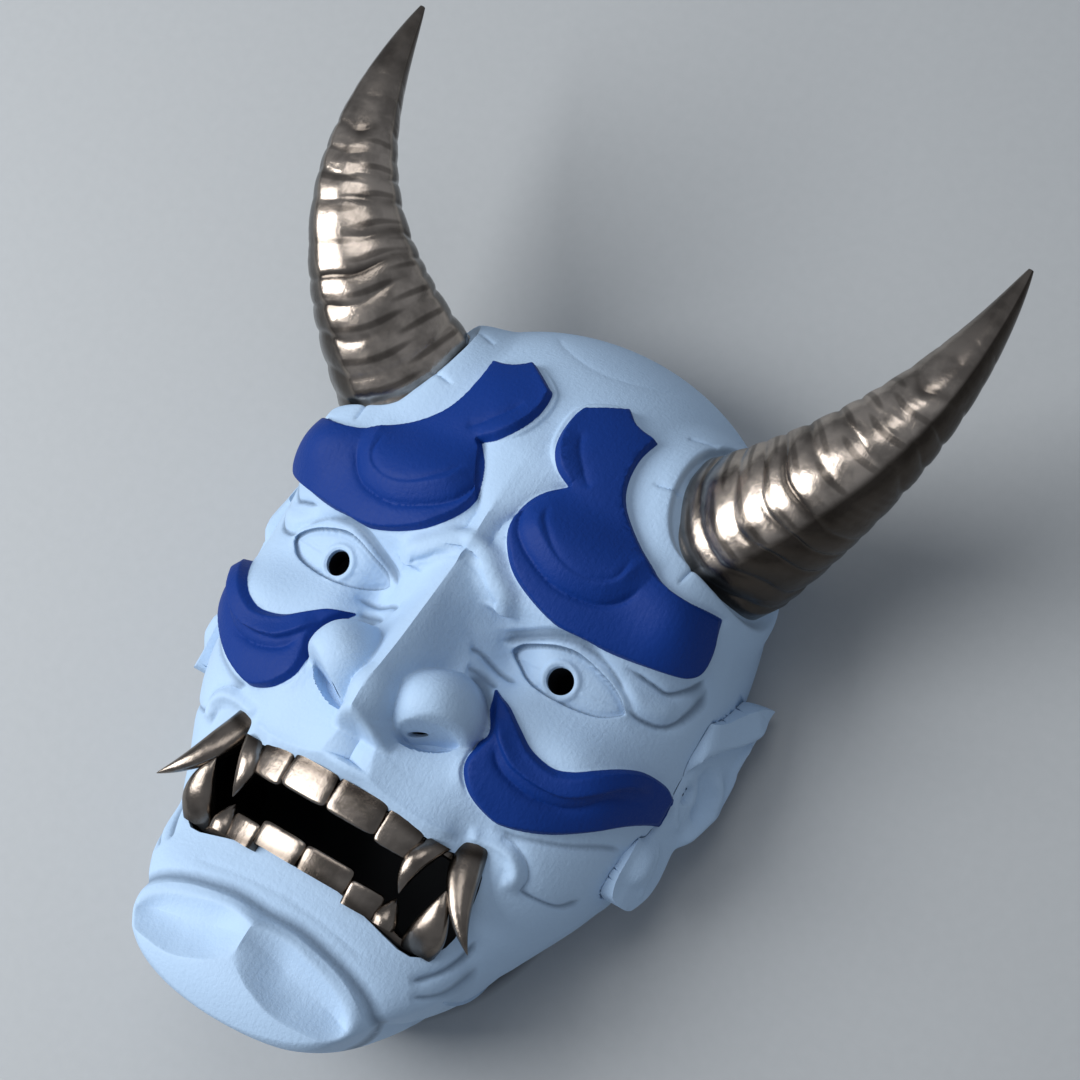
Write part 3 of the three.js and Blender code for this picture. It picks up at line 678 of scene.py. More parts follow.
@dataclass
class Casting:
    """The hollow painted face with its carving, openings and ears."""

    columns: int = 400
    rows: int = 560
    inner_share: int = 4
    wall: float = 5.0
    wall_rings: int = 20
    inner_rings: int = 5
    brow_rise: float = 2.8
    flourish_rise: float = 2.4
    bevel: float = 1.3
    eye_hole: float = 3.7
    budget: int = 190000
    skin: np.ndarray | None = None
    hollow: np.ndarray | None = None

    def carve_nose(self, clay: Clay) -> None:
        """Keeled bridge, rounded tip, wings, nostril bowls and the groove under them."""
        x, y = clay.across, clay.y
        ridge = profile([(-34, 29.5), (-26, 28.8), (-12, 24.8), (15, 16.4), (17, 15.6)])(y)
        spread = profile([(-34, 2.4), (-22, 1.6), (-10, 0.4), (16, 0)])(y)
        slope = profile([
            (-34, 3.0), (-30, 2.8), (-22, 2.4), (-12, 1.75), (-5, 1.6), (2, 1.35), (8, 0.95), (15, 0.82),
        ])(y)
        roundness = profile([(-34, 5.5), (-22, 6.0), (-12, 6.0), (-3, 4.0), (6, 1.8), (15, 0.8)])(y)
        away = soft_max(x - spread, np.zeros_like(x), roundness)
        nose = ridge + 0.25 * roundness * slope - away * slope
        nose = soft_min(nose, 33.4 + (y + 33.4) * 3.0 - 0.03 * x * x, 5.5)
        ball = 1 - (x / 7.6) ** 2 - ((y + 27.4) / 9.4) ** 2
        nose = soft_max(nose, np.where(ball > 0, 15 + 15.9 * np.maximum(ball, 0) ** 0.5, -90.0), 3.5)
        nose = soft_min(nose, 16.5 - (y - 15.6 + 0.32 * x) * 2.4, 1.2)
        clay.z = soft_max(clay.z, nose, 3.0)

        u, v = turned_axes(x - 13.8, y + 22.8, 24)
        wing = 1 - np.abs(u / 13.2) ** 2.2 - np.abs(v / 11.4) ** 2.2
        wing = np.where(wing > 0, 5.0 + 21.5 * np.maximum(wing, 0) ** 0.5, -90.0)
        under = 18.4 - 0.45 * (x - 9) + 2.6 * (y + 33.8 - 0.47 * (x - 9))
        clay.z = soft_max(clay.z, soft_min(wing, under, 3.0), 2.2)

        u, v = turned_axes(x - 15.8, y + 30.7, 24)
        bowl = np.maximum(1 - (u / 8.2) ** 2 - (v / 3.0) ** 2, 0)
        clay.z -= 6.5 * bowl ** 0.5

        groove = np.maximum(1 - x / (5.2 + 0.26 * (-37 - y)), 0)
        clay.z -= 3.6 * (groove * ease((y + 47.2) / 1.6) * ease((-34.6 - y) / 2.6))

    def carve_eyes(self, clay: Clay) -> None:
        """Eyeballs sunk behind their lids, each with a ring round its hole."""
        x, y = clay.across, clay.y
        pick, inside = clay.within(EYE_OUTLINE, 6)
        ex, ey = x[pick], y[pick]
        swell = np.maximum(1 - ((ex - 37) / 17) ** 2 - ((ey - 1.4) / 6.6) ** 2, 0)
        clay.z[pick] += ease(inside / 0.9 + 0.2) * (2.4 * swell - 1.9)
        ring = np.hypot(x - EYE_APART, y)
        clay.z += 0.75 * np.exp(-np.abs((ring - 4.7) / 0.85) ** 2.5)
        outside = np.minimum(inside, 0)
        lid = np.where(ey > 0.9, np.exp(outside / 2.2), 0.35 * np.exp(outside / 1.5))
        clay.z[pick] += 0.8 * lid * ease(0.7 - inside / 0.8)

    def carve_chin(self, clay: Clay) -> None:
        """Chin boss with two scooped facets that meet on a keel."""
        x, y = clay.across, clay.y
        boss = [
            (0, -90), (9, -89.6), (19.6, -91.4), (28, -93.8), (34, -97), (38.4, -101.6), (40.5, -107),
            (37, -114), (24, -121), (0, -125), (-20, -121), (-34, -109), (-20, -92),
        ]
        pick, inside = clay.within(boss, 4)
        cx, cy = x[pick], y[pick]
        upper, lower = np.maximum(cy + 104, 0), np.maximum(-cy - 107, 0)
        dome = 16.6 - 0.0056 * cx**2 - 0.011 * upper**2 - 0.034 * lower**2
        rise = np.maximum(dome - clay.z[pick], 0)
        wall = 3.5 + 0.5 * rise + 0.1 * np.maximum(cx - 14, 0)
        clay.z[pick] += ease(inside / wall + 0.1) * rise
        facet = [
            (0, -91.4), (9, -91), (19.6, -92.8), (27, -95.2), (32.5, -98.4), (36.4, -102), (38, -106.4),
            (35, -110), (29, -111.4), (19, -112), (13, -110.8), (6.6, -108.2), (0, -104.6), (-6, -105),
            (-6, -92),
        ]
        pick, inside = clay.within(facet, 4)
        beside = np.clip(x[pick] / 13, 0, 1) * ease((40 - x[pick]) / 14)
        deep = np.clip(inside / 10, 0, 1)
        clay.z[pick] -= 6.2 * (1 - (1 - beside) ** 2) * (1 - (1 - deep) ** 2) * (x[pick] < 40)

    def carve_forehead(self, clay: Clay) -> None:
        """Keel between the brows with a sharp valley on either side."""
        x, y = clay.across, clay.y
        valley = profile([(20, 4.4), (26, 3.9), (30, 4.6), (36, 8.2), (45, 13.2), (52, 16)])(y)
        keel = np.maximum(1 - x / valley, 0) * ease((y - 19) / 3) * ease((62 - y) / 14)
        clay.z += 2.6 * keel
        bank = np.exp(-np.abs(x - valley) / np.where(x > valley, 4.5, 2.0))
        clay.z -= 1.5 * bank * ease((y - 20) / 4) * ease((50 - y) / 6)
        lift = ease((38 - np.hypot(x - 30, (y - 31) * 0.8)) / 14) * ease((y - 9) / 4)
        clay.z += 1.2 * lift
        clay.z -= 1.6 * np.exp(-(((x - 13.5) / 4) ** 2) - ((y - 6.5) / 3.2) ** 2)
        clay.z -= 1.3 * np.exp(-(((x - 9) / 5) ** 2) - ((y + 1.4) / 1.6) ** 2)

    def carve_brows(self, clay: Clay) -> None:
        """Raised brows, each with a terrace and two lines."""
        clay.plate(BROW_OUTLINE, self.brow_rise, self.bevel)
        foot = [
            (8.2, 36), (8.3, 32), (10.6, 27.6), (16.8, 23.3), (25.8, 20.2), (35.9, 21.2), (42, 25.3),
            (45.5, 31),
        ]
        clay.terrace([*foot, (46, 40), (38, 48), (24, 52), (11, 46)], 3.0, 5.0, 44)
        clay.crease(foot, 0.8, 0.9, 0.12)
        clay.crease([(13.2, 38.5), (14.8, 33.6), (20.8, 27.9), (26.9, 25.6), (33.1, 26.2), (38.1, 30),
                     (38.6, 36)], 0.6, 0.8, 0.15)
        clay.crease([(9, 61), (11.8, 55.4), (15.9, 50.7), (19.7, 47.8)], 0.8, 1.2, bend=1)
        clay.step([(10.9, 47.4), (5.2, 53.2), (2.9, 60.6), (3.5, 67), (7.2, 70.6), (15.1, 75)],
                  0.9, 3.4, 1.0, 0.2)

    def carve_flourishes(self, clay: Clay) -> None:
        """Raised flourishes on the cheeks, each with a step and a line."""
        clay.plate(CHEEK_OUTLINE, self.flourish_rise, self.bevel)
        clay.step([(28.6, -17), (31.5, -21.4), (36.3, -25.1), (39.6, -26), (45, -26.2), (51.9, -24.6),
                   (57.8, -20.4), (62.6, -15.7), (67, -13.7)][::-1], 1.7, 3.0, 0.9)
        clay.crease([(30.5, -23), (34.5, -27.6), (40.7, -29.8), (46.6, -30.1), (52.1, -28.7), (56.8, -25.5),
                     (61.4, -20.4), (67.5, -16.4)], 1.2, 1.2, 0.12, 1.2)
        clay.step([(26.2, -15.6), (28, -21.4), (26.4, -25.6), (25.6, -30.4), (26.8, -34.8), (30.8, -38.8)],
                  0.8, 2.2, 0.9, 0.2)

    def carve_lids(self, clay: Clay) -> None:
        """Line round each eyeball, the line across it, and the folds of the lids."""
        pick, inside = clay.within(EYE_OUTLINE, 2)
        clay.relief[pick] -= 1.2 * np.exp(-(np.abs(inside - 0.2) / 0.5) ** 2)
        clay.crease([(21.5, 0.8), (30.4, 0.5)], -0.35, 0.45, 0.1)
        clay.crease([(41.6, -0.2), (53, 0.8)], -0.35, 0.45, 0.1)
        clay.crease([(16, 0.9), (20.9, 4.2), (26.7, 7.2), (32.4, 9.6), (38, 10.6), (46, 9.2), (52.5, 5.4),
                     (57.5, 1)][::-1], 1.0, 1.0, 0.12)
        clay.step([(14.5, 2.4), (20, 5.6), (26.7, 9), (32.4, 11.2), (38, 12), (46, 11)], -0.9, 2.6, 1.4, 0.2)
        clay.crease([(27, -5.8), (20, -5.2), (14.4, -3.6), (11.6, -4.2)], 1.2, 1.2)
        clay.crease([(23, -9.4), (17.6, -8.2), (13.4, -8.8)], 1.0, 1.2)

    def carve_folds(self, clay: Clay) -> None:
        """Folds over the bridge, at the temples, on the cheeks and round the mouth."""
        clay.crease([(-2, 18.8), (3, 18.6), (7, 16.4), (9.5, 14.4), (13.4, 11.4), (14.2, 8)],
                    -2.9, 3.8, 0.06, 2.8)
        clay.crease([(0, 15.2), (2.1, 15.2), (6.3, 13.6), (9.4, 11.6), (13, 10.2)], 1.0, 0.9, 0.05, 1.4)
        clay.crease([(48.4, 11.4), (53.5, 11), (57.9, 10.8), (61.1, 10.9), (63.8, 13.4), (66.2, 17.2),
                     (67.1, 22)], 1.5, 0.9, bend=1)
        clay.crease([(50, 7), (56, 5.6), (61, 6.4), (64.4, 9.6)], -0.9, 2.4, 0.3, 2)
        clay.crease([(52.6, 3.1), (56.5, 1.6), (61, 2), (63.6, 3.3), (65.5, 6.2), (67, 10.3), (67.9, 15),
                     (67.7, 20)], 1.5, 1.2, bend=1)
        clay.crease([(39.6, -41.8), (45.5, -41.6), (56.8, -37.3), (64.3, -32.5), (68.5, -29.8)], 1.0, 1.5)
        clay.crease([(51, -53.2), (54.9, -53.3), (59.7, -52.5), (62, -50.4), (64.4, -46.2)], 1.2, 1.0, bend=1)
        clay.crease([(34, -46.6), (37.6, -46.4), (41.8, -45.8), (46.1, -46.2), (48.4, -48), (49.4, -50.4),
                     (48.8, -52.6), (46.6, -53)], -1.8, 2.0, 0.1, 2)
        clay.crease([(41.8, -43.4), (46.1, -43.4), (50.6, -45.8), (52.8, -49.6), (51.8, -54.4)],
                    1.0, 0.9, 0.15, 1)
        lip = smooth_line([
            (-6.2, -46.4), (0, -46.6), (6.2, -46.4), (11.7, -48), (19.5, -49.3), (26.7, -49.4), (32.8, -48.4),
        ])
        pick, distance, along = clay.measure(lip, False, 8)
        edge = ease((1 - along) / 0.12)
        bend = np.where(distance > 0, 1.3 * np.exp(-distance / 2.2), 1.3 + 0.5 * np.maximum(distance, -7))
        clay.relief[pick] += bend * edge * (np.abs(distance) < 7)
        clay.crease([(13.7, -10.5), (17.8, -10), (21.8, -11.8), (25.8, -15.6), (28, -21.2), (27, -26.5),
                     (24, -31)], 1.6, 1.1, bend=1)
        clay.crease([(39.3, -87.9), (41.9, -84.7), (44.6, -80.8), (46.7, -75.2), (48, -68)], 1.3, 1.3)
        clay.crease([(41.2, -91.3), (45.5, -88.4), (48, -84), (50.3, -74)], 1.1, 1.4)
        clay.crease([(-2, -89.4), (10, -89), (20.5, -91), (29, -93.6), (36, -97.6), (41, -104)],
                    1.2, 2.4, 0.04)
        clay.crease([(40, -104.6), (45, -105), (50, -103)], 0.9, 1.4, 0.3)
        clay.crease([(-2, -84.1), (12, -85.1), (28.8, -88)], 0.35, 1.2)

    def carve_collars(self, clay: Clay) -> None:
        """Swollen collars round the horns, and the cracks beside them."""
        axis = bezier(np.array([0.0]), HORN_COURSE)[1][0]
        from_root = np.stack([clay.across, clay.y, clay.z], -1) - HORN_ROOT
        along = from_root @ axis
        away = np.linalg.norm(from_root - along[:, None] * axis, axis=1)
        collar = 4.2 * ease((35 - away) / 13) - 2.4 * ease((24.6 - away) / 2.6)
        pick, inside = clay.within(BROW_OUTLINE, 40)
        clear = np.ones(len(away))
        clear[pick] = 1 - 0.85 * ease(inside / 2 + 0.6)
        clay.relief += collar * ease((along + 45) / 15) * clear
        clay.crease([(31.2, 57.7), (35.9, 58.2), (39.9, 59.2)], 1.0, 0.55, 0.3, 1)
        clay.crease([(51.8, 35.6), (51, 43.5)], 1.0, 0.55, 0.3, 1)
        clay.crease([(30.6, 74.5), (38.1, 75.3)], 1.0, 0.55, 0.3, 1)
        clay.crease([(-17, 84), (0, 81), (15, 84.6), (22, 90)], 0.3, 1.2, 0.3, 1)

    @staticmethod
    def skirt(edge: np.ndarray, rings: int) -> list[np.ndarray]:
        """Rings of points from the edge of a sheet back to the flat rim.

        Args:
            edge: Points of the edge, once round.
            rings: Number of rings after the edge.

        Returns:
            The points of each ring.
        """
        share = Skull.rim_share(edge[:, 1])
        found = []
        for t in np.arange(1, rings + 1) / rings:
            pull = (1 - (1 - share) * t * t)[:, None]
            found.append(np.column_stack([edge[:, :2] * pull, edge[:, 2] * (1 - t) + BACK * t]))
        return found

    def shell(self) -> tuple[bpy.types.Object, Clay, np.ndarray]:
        """Closed shell of the carved front, the side walls, the flat rim and the hollow.

        Returns:
            The piece, the clay and the carved points.
        """
        clay = Clay(self.columns, self.rows)
        self.carve_forehead(clay)
        self.carve_nose(clay)
        self.carve_eyes(clay)
        self.carve_chin(clay)
        normal = clay.normals()
        self.carve_brows(clay)
        self.carve_flourishes(clay)
        self.carve_lids(clay)
        self.carve_folds(clay)
        self.carve_collars(clay)
        edge_fade = ease((clay.z + 47) / 6)
        front = np.stack([clay.x, clay.y, clay.z], -1) + normal * (clay.relief * edge_fade)[:, None]

        index = np.arange(len(front)).reshape(clay.shape)
        corners = (index[:-1, :-1], index[:-1, 1:], index[1:, 1:], index[1:, :-1])
        faces = [np.stack([c.ravel() for c in corners], -1)]
        points = [front]
        start = len(front)
        ring = border_of(index)
        for level in self.skirt(front[ring], self.wall_rings):
            points.append(level)
            below = start + np.arange(len(ring))
            faces.append(band(below, ring))
            ring, start = below, start + len(below)
        outer_rim = ring

        step = self.inner_share
        inner = Skull.sheet(self.columns // step, self.rows // step, self.wall, Skull.hollow_masses)
        grid = start + np.arange(inner.shape[0] * inner.shape[1]).reshape(inner.shape[:2])
        points.append(inner.reshape(-1, 3))
        corners = (grid[:-1, :-1], grid[1:, :-1], grid[1:, 1:], grid[:-1, 1:])
        faces.append(np.stack([c.ravel() for c in corners], -1))
        start += grid.size
        ring = border_of(grid)
        for level in self.skirt(inner.reshape(-1, 3)[ring - grid[0, 0]], self.inner_rings):
            points.append(level)
            below = start + np.arange(len(ring))
            faces.append(band(ring, below))
            ring, start = below, start + len(below)

        quads = [tuple(f) for part in faces for f in part.tolist()]
        count = len(outer_rim)
        for k in range(len(ring)):
            fan = [outer_rim[(step * k + n) % count] for n in range(step + 1)]
            quads.append(tuple(int(v) for v in (ring[(k + 1) % len(ring)], ring[k], *fan)))
        self.skin = np.vstack(points[:1 + self.wall_rings])
        self.hollow = np.vstack(points[1 + self.wall_rings:])
        return build_mesh("painted_face", np.vstack(points), quads), clay, front

    def prism(self, ring: np.ndarray, low: float, high: float) -> bpy.types.Object:
        """Cutter through the face along z, with a ring of x, y points for its section."""
        count = len(ring)
        points = np.vstack([np.column_stack([ring, np.full(count, z)]) for z in (low, high)])
        return build_mesh("cutter", points, tube(2, count, False))

    def open_up(self, piece: bpy.types.Object) -> None:
        """Cut the mouth, the eye holes and the nostrils."""
        half = smooth_line(MOUTH_HALF, steps=3)
        mouth = np.vstack([half, (half * (-1, 1))[-2:0:-1]])
        combine(piece, self.prism(mouth[::-1], -70, 60), "DIFFERENCE")
        turn = np.linspace(0, 2 * np.pi, 48, endpoint=False)
        circle = np.column_stack([np.cos(turn), np.sin(turn)])
        for side in (-1, 1):
            hole = circle * self.eye_hole + (EYE_APART * side, 0)
            combine(piece, self.prism(hole, -70, 60), "DIFFERENCE")
        for side in (-1, 1):
            slit = self.prism(circle * (2.7, 1.2), -40, 8)
            tilt = Matrix.Rotation(side * 0.42, 4, "Z")
            lean = Matrix.Rotation(0.6, 4, "X")
            place = Matrix.Translation(Vector((np.array([13.0 * side, -29.4, 11]) + SEAT) * MM))
            seat_back = Matrix.Translation(Vector(-SEAT * MM))
            slit.data.transform(place @ lean @ tilt @ seat_back)
            slit.data.update()
            combine(piece, slit, "DIFFERENCE")

    def ear(self, side: int) -> bpy.types.Object:
        """Pointed ear: a leaf beside the head with a folded flap, a pit, two ridges and a lobe.

        Args:
            side: 1 for the mask's own left, -1 for its right.

        Returns:
            The ear as a closed body.
        """
        corner = np.array([70.7, 0, -29.0])
        along, out = np.array([0.315, 0, -0.949]), np.array([0.949, 0, 0.315])
        stations = smooth_line([
            (-44, 4, 5), (-43.6, 0.5, 8), (-42.4, -2.4, 10.5), (-38, -4.6, 14.4), (-33, -5, 15.7),
            (-28, -5, 15.2), (-23.5, -4, 14.6), (-20, -4, 17.5), (-15, -4, 22.3), (-10, -4, 24.6),
            (-2, -4, 25.2), (8, -4, 25.6), (10.5, -2, 25.6), (14, 4.5, 25.5), (17, 8.3, 25.4),
            (21, 14, 25.3), (23.6, 19.1, 25.1), (24.9, 24, 24.9),
        ], steps=7)
        across = np.linspace(0, 1, 49)
        s = stations[:, 1:2] + (stations[:, 2:3] - stations[:, 1:2]) * across
        y = np.repeat(stations[:, :1], len(across), axis=1)
        leaf = Relief(s.ravel(), y.ravel())
        fold = [
            (25, 24.4), (23.6, 19.4), (20.6, 15.3), (15.2, 11.2), (9.3, 7.7), (3.8, 4), (0.9, 1),
            (-0.4, -3.5), (0.6, -9),
        ]
        leaf.step(fold, 2.0, 6.5, 0.8, 0.25)
        leaf.crease(fold, 0.7, 0.6, 0.1)
        leaf.crease([(10.7, 1.3), (17.5, -2.9), (19.3, -7.1), (19.8, -10.2), (16.6, -16), (12, -21.9)],
                    -1.5, 2.2, 0.15, 2)
        leaf.crease([(22.1, 14.9), (20.6, 9.1), (20.2, 5.1), (22, 1), (23.2, -4.7), (21.5, -14)],
                    -0.9, 1.2, 0.15, 2)
        leaf.crease([(5.6, -5.5), (5.6, -8.5), (6.5, -11)], 1.3, 2.2, 0.2, 2)
        leaf.crease([(6, 0), (11, -4), (14, -9), (12.5, -14)], 1.3, 2.4, 0.2, 2)
        leaf.crease([(2, -13), (5, -16.5), (9, -17.5)], -0.8, 1.4, 0.25, 2)
        leaf.crease([(-1, -24), (1.5, -31), (3, -38)], -1.7, 4.6, 0.4, 2)
        leaf.crease([(3.6, -24), (6.1, -32.9), (9.3, -39.5)], -0.5, 0.8, 0.15, 1)
        front_sink = ease((0.4 - leaf.across) / 4.4) * ease((leaf.y + 26) / 5)
        leaf.relief = 1.4 * leaf.relief + ease((leaf.across + 3) / 6) - 5.5 * front_sink
        lift = leaf.relief.reshape(s.shape)
        lift -= 1.6 * ease((0.16 - (1 - across)) / 0.16) ** 2
        points = corner + s[..., None] * along + lift[..., None] * out
        points[..., 1] = y
        rows = []
        for front, (height, near, far) in zip(points, stations):
            depth = min(6.0, 1.2 + 0.5 * (far - near))
            sunk = depth + 3.0 * float(ease((-24 - height) / 8))
            back = [corner + s_back * along - sink * out for s_back, sink in (
                (far + 0.1, 1.5), (far - 0.6, 0.45 * depth), (far * 0.6 + near * 0.4, depth), (near, sunk))]
            corners = np.vstack([front[-1], back, front[0]])
            corners[:, 1] = height
            travel = np.append(0, np.cumsum(np.linalg.norm(np.diff(corners, axis=0), axis=1)))
            places = np.linspace(0, travel[-1], 34)[1:-1]
            behind = np.column_stack([np.interp(places, travel, axis) for axis in corners.T])
            rows.append(np.vstack([front, behind]))
        points = np.vstack(rows)
        if side < 0:
            points = points * (-1, 1, 1)
        return build_mesh("ear", points, tube(len(rows), len(rows[0]), side > 0))

    def finish_fields(self, piece: bpy.types.Object, clay: Clay, front: np.ndarray) -> None:
        """Store the paint line, the creases for painted shade and the depth under the carved skin for black
        painted shade.

        Args:
            piece: The finished mesh.
            clay: The clay that it was carved from.
            front: Carved points of the clay.
        """
        points = read_points(piece.data)
        normals = clay.normals()
        close = self.nearest(front)(points)
        skin = self.skin[self.nearest(self.skin)(points)]
        below = np.linalg.norm(points - skin, axis=1)
        line = np.full(len(points), -9.0)
        for ring in (BROW_OUTLINE, CHEEK_OUTLINE):
            base = points - normals[close] * clay.relief[close][:, None]
            sheet = Relief(np.abs(base[:, 0]), base[:, 1])
            pick, inside = sheet.within(ring, 6)
            shown = (points[pick, 2] > -45) & (below[pick] < 1.2)
            line[pick[shown]] = np.maximum(line[pick[shown]], inside[shown] + 0.35)
        write_field(piece.data, "paint_line", line)
        # Painted shade in the carved grooves: the deeper the groove, the darker the skin there.
        write_field(piece.data, "crease", np.clip(-clay.relief[close] / 1.2, 0, 1) * (below < 1.2))
        # Painted shade: points inside the shell and points deep in the walls of the openings get a depth that
        # turns them near-black.
        inner = self.hollow[self.nearest(self.hollow)(points)]
        hollow = np.linalg.norm(points - inner, axis=1) < 3
        shaded_cut_wall = (np.abs(points[:, 0]) < 55) & (below > SHADE_PAINT_DEPTH)
        write_field(piece.data, "depth", np.where(hollow | shaded_cut_wall, below, 0))

    @staticmethod
    def nearest(cloud: np.ndarray) -> Callable[[np.ndarray], np.ndarray]:
        """Lookup of the nearest point of a cloud.

        Args:
            cloud: Rows of points.

        Returns:
            A function that gives, for rows of points, the index of each one's nearest.
        """
        tree = KDTree(len(cloud))
        for k, place in enumerate(cloud.tolist()):
            tree.insert(place, k)
        tree.balance()
        return lambda rows: np.array([tree.find(row)[1] for row in rows.tolist()])

    def build(self, finishes: Finishes) -> bpy.types.Object:
        """Make the face and dress it.

        Args:
            finishes: The materials of the mask.

        Returns:
            The finished piece.
        """
        piece, clay, front = self.shell()
        for side in (-1, 1):
            ear = self.ear(side)
            self.skin = np.vstack([self.skin, read_points(ear.data)])
            combine(piece, ear, "UNION")
        self.open_up(piece)
        triangles = sum(len(p.vertices) - 2 for p in piece.data.polygons)
        if triangles > self.budget:
            fewer = piece.modifiers.new("fewer", "DECIMATE")
            fewer.ratio = self.budget / triangles
            apply_modifiers(piece)
        self.finish_fields(piece, clay, front)
        dress(piece, finishes.casting, "face_shell")
        piece.data.shade_smooth()
        piece.data.set_sharp_from_angle(angle=math.radians(50))
        return piece


@dataclass
class Horn:
    """One banded horn, square in section with two sharp edges along its front."""

    side: int
    rings: int = 420
    sides: int = 120
    band_length: float = 7.6
    socket: float = 8.0
    reach: float = 0.984
    edges: tuple[float, ...] = (-35.0, 66.0, 160.0, -128.0)
    front_turn: float = 15.5
    squareness: float = 2.4
    seed: int = 7

    def section(self, angle: np.ndarray) -> np.ndarray:
        """Share of the radius at each angle from the front, in degrees towards the crown's middle."""
        turn, power = np.radians(angle - self.front_turn), self.squareness
        square = (np.abs(np.cos(turn)) ** power + np.abs(np.sin(turn)) ** power) ** (-1 / power) * 0.98
        for edge in self.edges:
            gap = (angle - edge + 180) % 360 - 180
            square += 0.030 * np.exp(-((gap / 7) ** 2))
        return square

    def bands(self, distance: float, angle: np.ndarray,
              waves: Sequence[np.ndarray]) -> tuple[np.ndarray, np.ndarray]:
        """Height of the bands and share of a groove at one distance from the root.

        Args:
            distance: Distance from the root, in mm.
            angle: Angles round the horn, in degrees.
            waves: Two smooth random courses round the horn.

        Returns:
            Height in mm and share of the dark tone, for each angle.
        """
        turn = np.radians(angle)
        skew = 0.20 * waves[0] + 0.10 * np.sin(2 * turn + distance * 0.11)
        skew = skew + 0.07 * np.sin(5 * turn - distance * 0.17)
        place = distance / self.band_length + skew + 0.16 * math.sin(distance * 0.21)
        number = np.floor(place)
        share = place - number
        strength = 0.62 + 0.38 * np.sin(number * 2.4 + 1.7 * np.sin(turn + number * 1.3) + waves[1])
        groove = np.exp(-(((share - 0.5) / 0.11) ** 2))
        swell = 0.14 * np.cos(2 * np.pi * share)
        fine = 0.05 * np.sin(distance * 2.1 + 3 * np.sin(2 * turn + distance * 0.2) + 4 * waves[1])
        fine = fine * ease(np.sin(turn * 3 + distance * 0.13) * 0.8)
        streak = np.sin(distance * 1.25 + 2.2 * waves[0]) * np.sin(2 * turn + distance * 0.37 + 2 * waves[1])
        hollow = np.exp(-(((share - 0.5) / 0.24) ** 2)) * strength**2
        tone = np.maximum(hollow, 0.7 * ease(1.6 * streak - 0.2))
        return swell - 0.5 * groove * strength - fine, tone

    def build(self, finishes: Finishes) -> bpy.types.Object:
        """Make the horn and dress it.

        Args:
            finishes: The materials of the mask.

        Returns:
            The finished piece.
        """
        rng = np.random.default_rng(self.seed)
        angle = np.linspace(0, 360, self.sides, endpoint=False)
        turn = np.radians(angle)
        waves = [sum(rng.uniform(-1, 1) * np.sin(k * turn + rng.uniform(0, 6)) / k for k in (1, 2, 3, 4))
                 for _ in range(2)]
        t = self.reach * np.linspace(0, 1, self.rings) ** 0.9
        places, ways = bezier(t, HORN_COURSE)
        lengths = np.concatenate([[0], np.cumsum(np.linalg.norm(np.diff(places, axis=0), axis=1))])
        section = self.section(angle)
        rows, tone_and_shade = [], []
        for share, place, way, length in zip(t, places, ways, lengths):
            front = np.array([0, 0, 1.0]) - way * way[2]
            front /= np.linalg.norm(front)
            inner = np.cross(front, way)
            radius = HORN_RADIUS * (1 - share) ** 0.8 * (1 - 0.2 * share * (1 - share))
            height, groove = self.bands(length, angle, waves)
            fade = ease((0.86 - share) / 0.35) * (0.55 + 0.45 * radius / HORN_RADIUS)
            size = radius * (1 + (section - 1) * ease((1 - share) / 0.3)) + height * fade
            size = np.maximum(size, 0.12)
            rows.append(place + np.outer(np.cos(turn) * size, front) + np.outer(np.sin(turn) * size, inner))
            # Painted shade: the sides that turn away from the front are darkened, and the colour darkens
            # towards the tip.
            from_front = np.abs((angle - self.front_turn + 180) % 360 - 180)
            dark = ease((from_front - 46) / 12) + 0.7 * ease((share - 0.55) / 0.35)
            tone_and_shade.append(np.maximum(groove * fade, np.minimum(dark, 1)))
        rows.insert(0, rows[0] - ways[0] * self.socket)
        tone_and_shade.insert(0, tone_and_shade[0])
        points = np.vstack(rows)
        if self.side < 0:
            points = points * (-1, 1, 1)
        name = "left" if self.side > 0 else "right"
        piece = build_mesh(f"bronze_horn_{name}", points, tube(len(rows), self.sides, self.side > 0))
        # The crease field holds the grooves' darker tone together with the painted shade on the horn's sides.
        write_field(piece.data, "crease", np.clip(np.concatenate(tone_and_shade), 0, 1) * 0.92)
        dress(piece, finishes.bronze, f"horn_{name}")
        return piece


class Row(Enum):
    """The two rows of teeth."""

    UPPER = 1
    LOWER = -1


